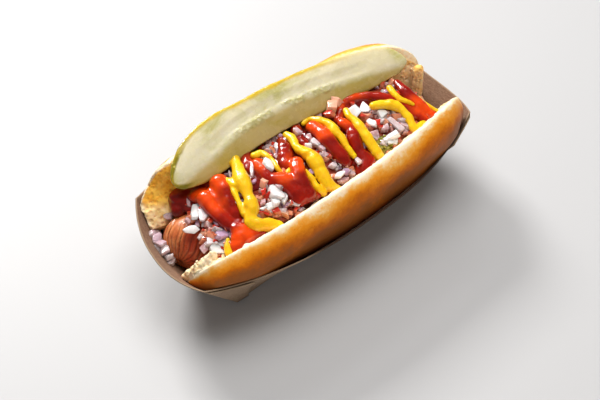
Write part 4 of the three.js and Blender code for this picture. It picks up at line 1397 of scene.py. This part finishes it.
def make_dice(inside, core):
    """All the single pieces on the heap and in the tray, and the crumbs at the bread's left end."""
    rng = np.random.default_rng(7)
    onion, tomato, relish = Pieces("diced_onion"), Pieces("diced_tomato"), Pieces("green_relish")
    lay_listed(rng, onion, tomato)
    scatter_stained(rng, onion, tomato)
    for x, y in scattered(rng, RELISH):
        size = rng.uniform(1.6, 2.7)
        verts, faces, _ = chip(rng, size, size * 0.8, size * 0.6, 4, 0.05)
        place = over_crown(x, y, rng.uniform(-0.9, 0.7))
        relish.add(verts, faces, place, turned(rng, 0.8), rng.uniform(0, 1), 0)
    wedge_in_tray(rng, onion, inside)
    cover_right_end(rng, onion, tomato, core)
    onion.finish(onion_material(), "toppings")
    tomato.finish(tomato_material(), "toppings")
    relish.finish(relish_material(), "toppings")
    crumbs = Pieces("loose_crumbs")
    for _ in range(LOOSE_CRUMBS):
        x = rng.uniform(-70, -61)
        y = -15.2 - 0.55 * (x + 68) + rng.uniform(-1.6, 2.4)
        place = over_crown(x, y, rng.uniform(-0.6, 1.6))
        size = rng.uniform(0.8, 1.9)
        verts, faces, _ = chip(rng, size, size * 0.8, size * 0.7, 6, 0.0)
        crumbs.add(verts, faces, place, turned(rng, 1.0), 1, 0)
    crumbs.finish(crumb_material(), "bread")


# ---------------------------------------------------------------- sauces

# piped strands: x, y, height of the middle over the toppings' crown, radius
MUSTARD = [
    [(-28.2, 12.4, 2.6, 2.3), (-30.4, 8.3, 2.6, 2.6), (-33.8, 2.8, 2.6, 2.5), (-35.9, -1.8, 2.6, 2.7),
     (-37.5, -5.6, 2.6, 2.2), (-39.3, -9.3, 2.6, 2.2), (-40.9, -12.2, 2.6, 2.3), (-43.5, -14.1, 2.6, 2.4),
     (-44.8, -16.5, 2.4, 2.9), (-43.0, -19.1, 2.2, 3.3), (-39.9, -20.9, 1.6, 3.0),
     (-37.2, -23.1, 0.6, 2.6)],
    [(-30.0, 13.5, 2.4, 1.5), (-30.2, 11.9, 2.4, 1.6), (-30.2, 9.3, 2.4, 1.6)],
    [(-38.7, 5.8, 2.2, 1.0), (-38.4, 3.2, 2.2, 1.5), (-38.3, 0.2, 2.2, 1.7), (-36.3, -2.2, 2.4, 1.8)],
    [(-38.8, 2.5, 2.2, 1.2), (-41.6, -3.5, 2.2, 1.1), (-43.3, -8.3, 2.2, 1.1), (-44.5, -12.2, 2.2, 1.3)],
    [(-21.0, 7.8, 2.3, 1.7), (-18.6, 7.0, 2.3, 1.5), (-18.1, 3.5, 2.3, 1.3), (-18.6, -0.4, 2.3, 1.2),
     (-20.0, -4.7, 2.3, 1.1), (-20.0, -7.4, 1.6, 0.8)],
    [(-18.5, -8.6, 2.0, 1.1), (-17.2, -8.2, 2.0, 1.3), (-16.0, -7.7, 2.0, 1.0)],
    [(-56.0, -14.6, 1.6, 1.0), (-57.5, -16.1, 1.6, 1.5), (-58.7, -18.2, 1.6, 1.7)],
    [(-3.7, 7.5, 2.6, 1.5), (-3.9, 3.8, 2.6, 1.8), (-6.2, -1.2, 2.6, 1.9), (-5.9, -4.7, 2.6, 2.1),
     (-5.1, -8.4, 2.6, 2.6), (-6.0, -12.5, 2.6, 2.9), (-7.0, -16.0, 2.6, 2.9), (-7.9, -19.4, 2.6, 2.8),
     (-8.2, -22.3, 2.6, 2.7), (-6.1, -24.2, 1.4, 2.3)],
    [(-12.0, -12.4, 2.2, 1.1), (-12.1, -16.0, 2.2, 1.3), (-13.0, -20.1, 2.2, 1.3),
     (-12.0, -22.8, 1.6, 1.5)],
    [(6.7, 8.5, 2.0, 1.0), (9.9, 8.6, 2.0, 1.3), (11.3, 5.5, 2.6, 1.6), (12.4, 2.4, 2.6, 2.0),
     (12.8, -1.0, 2.6, 2.2), (11.8, -5.6, 2.6, 1.9), (11.7, -8.8, 2.6, 1.8), (10.4, -12.7, 2.6, 1.6),
     (9.8, -16.2, 2.6, 1.4), (9.7, -18.3, 2.6, 1.1)],
    [(24.0, 0.8, 2.6, 1.2), (22.5, -2.8, 2.6, 1.6), (22.5, -6.2, 2.6, 1.8), (21.4, -10.5, 2.6, 2.0),
     (20.5, -14.3, 2.6, 2.1), (19.7, -18.3, 2.6, 2.2), (19.2, -21.9, 2.6, 2.3), (19.4, -24.4, 2.0, 2.2)],
    [(34.6, -5.1, 2.6, 1.9), (37.9, -6.6, 2.6, 2.0), (41.3, -9.7, 2.6, 2.0), (42.6, -13.2, 2.6, 2.0),
     (42.6, -17.1, 2.6, 1.9), (41.6, -20.7, 2.6, 1.7), (41.2, -23.0, 2.6, 1.5), (47.0, -22.3, 1.5, 1.5)],
    [(47.5, -1.8, 2.6, 1.4), (46.2, -5.9, 2.6, 1.3), (46.2, -9.5, 2.6, 1.2), (47.7, -12.1, 2.6, 1.0),
     (48.9, -14.4, 2.6, 0.7)],
    [(53.2, -11.1, 2.0, 0.8), (54.1, -14.8, 2.0, 0.9), (55.1, -18.4, 2.0, 0.9), (56.6, -21.2, 2.0, 0.8)],
]
KETCHUP = [
    [(-49.6, 6.2, 1.4, 3.5), (-50.6, 0.8, 1.0, 3.3), (-51.0, -5.1, 0.4, 3.1), (-50.2, -9.8, 0.0, 2.8),
     (-48.0, -12.1, 0.0, 2.4)],
    [(-41.0, 7.4, 1.8, 3.7), (-42.8, 2.1, 1.4, 3.5), (-44.8, -3.7, 1.0, 3.2), (-46.3, -8.2, 0.4, 2.8)],
    [(-48.0, 19.0, -0.6, 4.0), (-52.2, 18.6, -0.9, 4.4), (-55.2, 16.4, -1.2, 4.2),
     (-57.4, 13.6, -1.6, 3.4)],
    [(-45.6, 6.2, 0.2, 3.0), (-47.0, 0.5, 0.0, 3.2), (-48.4, -5.0, -0.3, 2.9)],
    [(-50.9, 20.8, -0.4, 3.2), (-48.9, 16.7, -0.4, 2.8), (-45.9, 14.6, -0.4, 2.8),
     (-42.6, 12.2, -0.4, 3.0)],
    [(-50.6, -13.9, 1.0, 3.4), (-51.4, -17.1, 1.0, 3.9), (-54.3, -19.0, 1.0, 3.9)],
    [(-49.6, -14.9, 0.8, 3.2), (-47.2, -18.0, 0.8, 3.6), (-44.6, -20.2, 0.8, 3.2)],
    [(-22.4, 12.0, 0.4, 2.6), (-25.0, 8.4, 0.4, 2.8), (-27.5, 4.2, 0.4, 2.4)],
    [(-23.2, 3.8, 1.0, 2.9), (-24.3, -0.3, 1.0, 3.1), (-25.6, -4.3, 1.0, 3.0), (-26.3, -7.2, 1.0, 2.6)],
    [(-24.0, -7.5, 1.2, 3.4), (-21.5, -10.5, 1.2, 3.8), (-20.9, -15.0, 1.2, 4.2), (-21.8, -19.1, 1.2, 4.0)],
    [(-12.0, -7.1, 1.8, 2.9), (-15.1, -11.3, 1.8, 3.1), (-17.5, -15.0, 1.8, 3.9), (-18.2, -19.8, 1.8, 4.2)],
    [(-22.5, -9.9, 0.8, 4.4), (-20.4, -14.0, 0.8, 4.6), (-19.1, -18.9, 0.8, 4.4)],
    [(-6.4, 6.8, 0.0, 3.4), (-9.8, 2.1, 0.0, 3.8), (-14.2, -3.2, 0.0, 3.6)],
    [(7.8, 3.8, 1.2, 3.3), (7.5, -2.0, 1.2, 3.7), (6.5, -7.5, 1.2, 3.6), (5.9, -13.2, 1.2, 3.4),
     (5.7, -17.8, 1.2, 2.8)],
    [(18.7, -3.4, 1.0, 2.8), (18.7, -7.9, 1.0, 3.1), (16.1, -12.4, 1.0, 3.1), (14.2, -16.0, 1.0, 2.6)],
    [(27.1, 9.6, 0.4, 2.2), (23.5, 3.3, 0.4, 2.8), (19.5, 0.6, 0.4, 2.6)],
    [(14.0, -18.0, 0.8, 3.0), (13.5, -22.1, 0.8, 3.6), (9.4, -24.3, 0.8, 3.8)],
    [(29.5, 6.2, 0.6, 2.4), (34.2, 5.1, 0.6, 2.8), (39.0, 1.4, 0.6, 2.8), (42.3, -3.1, 0.6, 2.6),
     (45.0, -7.5, 0.6, 2.4), (45.8, -12.5, 0.6, 2.4), (45.2, -17.0, 0.6, 2.3)],
    [(53.9, -0.5, 1.2, 2.2), (52.2, -5.7, 1.2, 2.8), (51.7, -10.4, 1.2, 3.0), (51.8, -15.1, 1.2, 3.1),
     (52.4, -19.1, 1.2, 2.8), (53.8, -21.6, 1.2, 2.4)],
    [(49.2, -16.1, 0.8, 2.4), (48.3, -19.2, 0.8, 3.0), (48.5, -21.5, 0.8, 2.8)],
    [(2.8, 8.7, 0.2, 2.8), (-0.2, 3.3, 0.2, 3.0), (-1.0, -0.5, 0.2, 2.6)],
]
# flat pools of ketchup between the strands: x, y, height, half length, half width, half thickness, angle
KETCHUP_POOLS = [
    (-46, 8, -1.0, 7, 5, 1.8, -20), (-46, -10, -1.0, 5, 8, 1.8, 5), (-41, 2, -0.9, 4, 8, 1.6, 10),
    (-30, -1, -0.9, 6, 5, 1.6, 0), (-16, -4, -0.8, 5, 9, 1.6, 10), (-16, -18, -0.4, 6, 6, 1.8, 0),
    (-2, 6, -0.8, 8, 4, 1.6, 0), (10, -4, -0.8, 6, 9, 1.6, 0), (13, -17, -0.6, 6, 7, 1.8, 0),
    (24, 3, -0.6, 7, 5, 1.8, 0), (38, 2, -0.8, 9, 4, 1.6, -20), (48, -10, -0.6, 6, 10, 1.8, 5),
    (-53, 9, -1.6, 4.5, 6, 1.8, 0), (-50.5, 14.5, 0.0, 8.5, 5.5, 2.6, -35),
    (-48.5, 9.5, 0.2, 5.5, 4.0, 2.2, -20), (-50.5, -17.5, 1.2, 5.5, 4.2, 3.2, -20),
]
# where light shines through the ketchup: x, y, reach
LIT_THROUGH = [
    (-48.3, 6.4, 9), (-41.4, 7.2, 8), (-50, -1, 6), (-54.3, -17.5, 6), (-49.0, -18.5, 6), (-23.6, 2, 6),
    (-20.5, -9, 7), (-12.5, -8, 8), (-36, -3, 5), (7.8, 3.8, 8), (7.5, -3, 6), (19, -3, 6), (26, 7, 6),
    (34, 5, 6), (50, -16, 6), (52, -20, 6),
]


def strand(name, path, flat, seed, uneven, thicker=1.0, sides=16, cap_rings=6):
    """A line of sauce with a radius that changes along it and round ends."""
    line = spline([(x, y, float(crown(x, y)) + lift, r * thicker) for x, y, lift, r in path], step=0.5)
    line, radius = line[:, :3], line[:, 3]
    length = np.linalg.norm(np.diff(line, axis=0), axis=1).sum()
    along = np.gradient(line, axis=0)
    along /= np.linalg.norm(along, axis=1, keepdims=True)
    # a full rounding beyond each end of the path
    cap = np.sin(np.linspace(0.12, 1.0, cap_rings) * math.pi / 2)
    start = line[0] - along[0] * (radius[0] * np.sqrt(1 - cap ** 2))[:, None]
    finish = line[-1] + along[-1] * (radius[-1] * np.sqrt(1 - cap[::-1] ** 2))[:, None]
    line = np.concatenate([start, line[1:-1], finish])
    radius = np.concatenate([radius[0] * cap, radius[1:-1], radius[-1] * cap[::-1]])
    along = np.concatenate([along[:1].repeat(cap_rings, 0), along[1:-1], along[-1:].repeat(cap_rings, 0)])
    across = np.cross(V([0, 0, 1.0]), along)
    across /= np.linalg.norm(across, axis=1, keepdims=True)
    up = np.cross(along, across)
    place = np.stack([np.linspace(0, length, len(line)), 0 * radius, 0 * radius], 1)
    radius = radius * (1 + uneven * noise(place, 4.5, seed) + 0.5 * uneven * noise(place, 2.1, seed + 1))
    radius = radius[:, None, None]
    turn = np.linspace(0, 2 * math.pi, sides, endpoint=False)[None, :, None]
    rings = (line[:, None, :] + radius * np.cos(turn) * across[:, None, :]
             + flat * radius * np.sin(turn) * up[:, None, :])
    return loft(name, rings)


def blob(name, x, y, z, rx, ry, rz, spin=0.0):
    """An oval drop of sauce or tuft of crumb."""
    down = np.linspace(0.02, math.pi - 0.02, 18)[:, None]
    turn = np.linspace(0, 2 * math.pi, 24, endpoint=False)
    u, v = rx * np.sin(down) * np.cos(turn), ry * np.sin(down) * np.sin(turn)
    c, s = math.cos(spin), math.sin(spin)
    return loft(name, np.stack([u * c - v * s + x, u * s + v * c + y, z - rz * np.cos(down) + 0 * u], -1))


def make_ketchup():
    parts = [strand(f"k{i}", path, 0.85, 41 + i, 0.14) for i, path in enumerate(KETCHUP)]
    for i, (x, y, lift, *radii, spin) in enumerate(KETCHUP_POOLS):
        parts.append(blob(f"p{i}", x, y, float(crown(x, y)) + lift, *radii, math.radians(spin)))
    ketchup = joined("ketchup_line", parts)
    applied(ketchup, voxel(KETCHUP_FACE), relax(5))
    p, n = coords(ketchup), normals(ketchup)
    set_coords(ketchup, p + n * (0.42 * rough(p, 5.0, 3, 3))[:, None])
    lift = p[:, 2] - crown(p[:, 0], p[:, 1])
    glow = np.zeros(len(p))
    for x, y, reach in LIT_THROUGH:
        away = np.hypot(p[:, 0] - x, p[:, 1] - y) + 0.9 * noise(p, 3, 5)
        glow = np.maximum(glow, ramp(away, reach, reach * 0.25) * ramp(lift, 0.5, 3.5))
    # thin: darker low down, partly thin sauce and partly painted shade between the strands
    set_values(ketchup, thin=ramp(lift, 3.0, -0.2) * 0.9, glow=glow)
    wear(ketchup, ketchup_material())
    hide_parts("ketchup")
    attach(ketchup, "root")


def make_mustard():
    parts = [strand(f"m{i}", path, 0.9, 61 + i, 0.16, 1.12) for i, path in enumerate(MUSTARD)]
    mustard = joined("mustard_line", parts)
    applied(mustard, voxel(MUSTARD_FACE), relax(3))
    p, n = coords(mustard), normals(mustard)
    set_coords(mustard, p + n * (0.26 * rough(p, 2.6, 2, 5))[:, None])
    wear(mustard, mustard_material())
    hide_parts("mustard")
    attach(mustard, "root")


# ---------------------------------------------------------------- the scene

place_camera()
light_up()
lay_floor()
inside = tray_inside()
make_tabs(make_tray())
bowl = outside_tray()
make_bun(inside, bowl)
make_sausage(bowl)
bpy.data.objects.remove(bowl)
make_pickle()
make_dice(inside, make_core())
make_ketchup()
make_mustard()
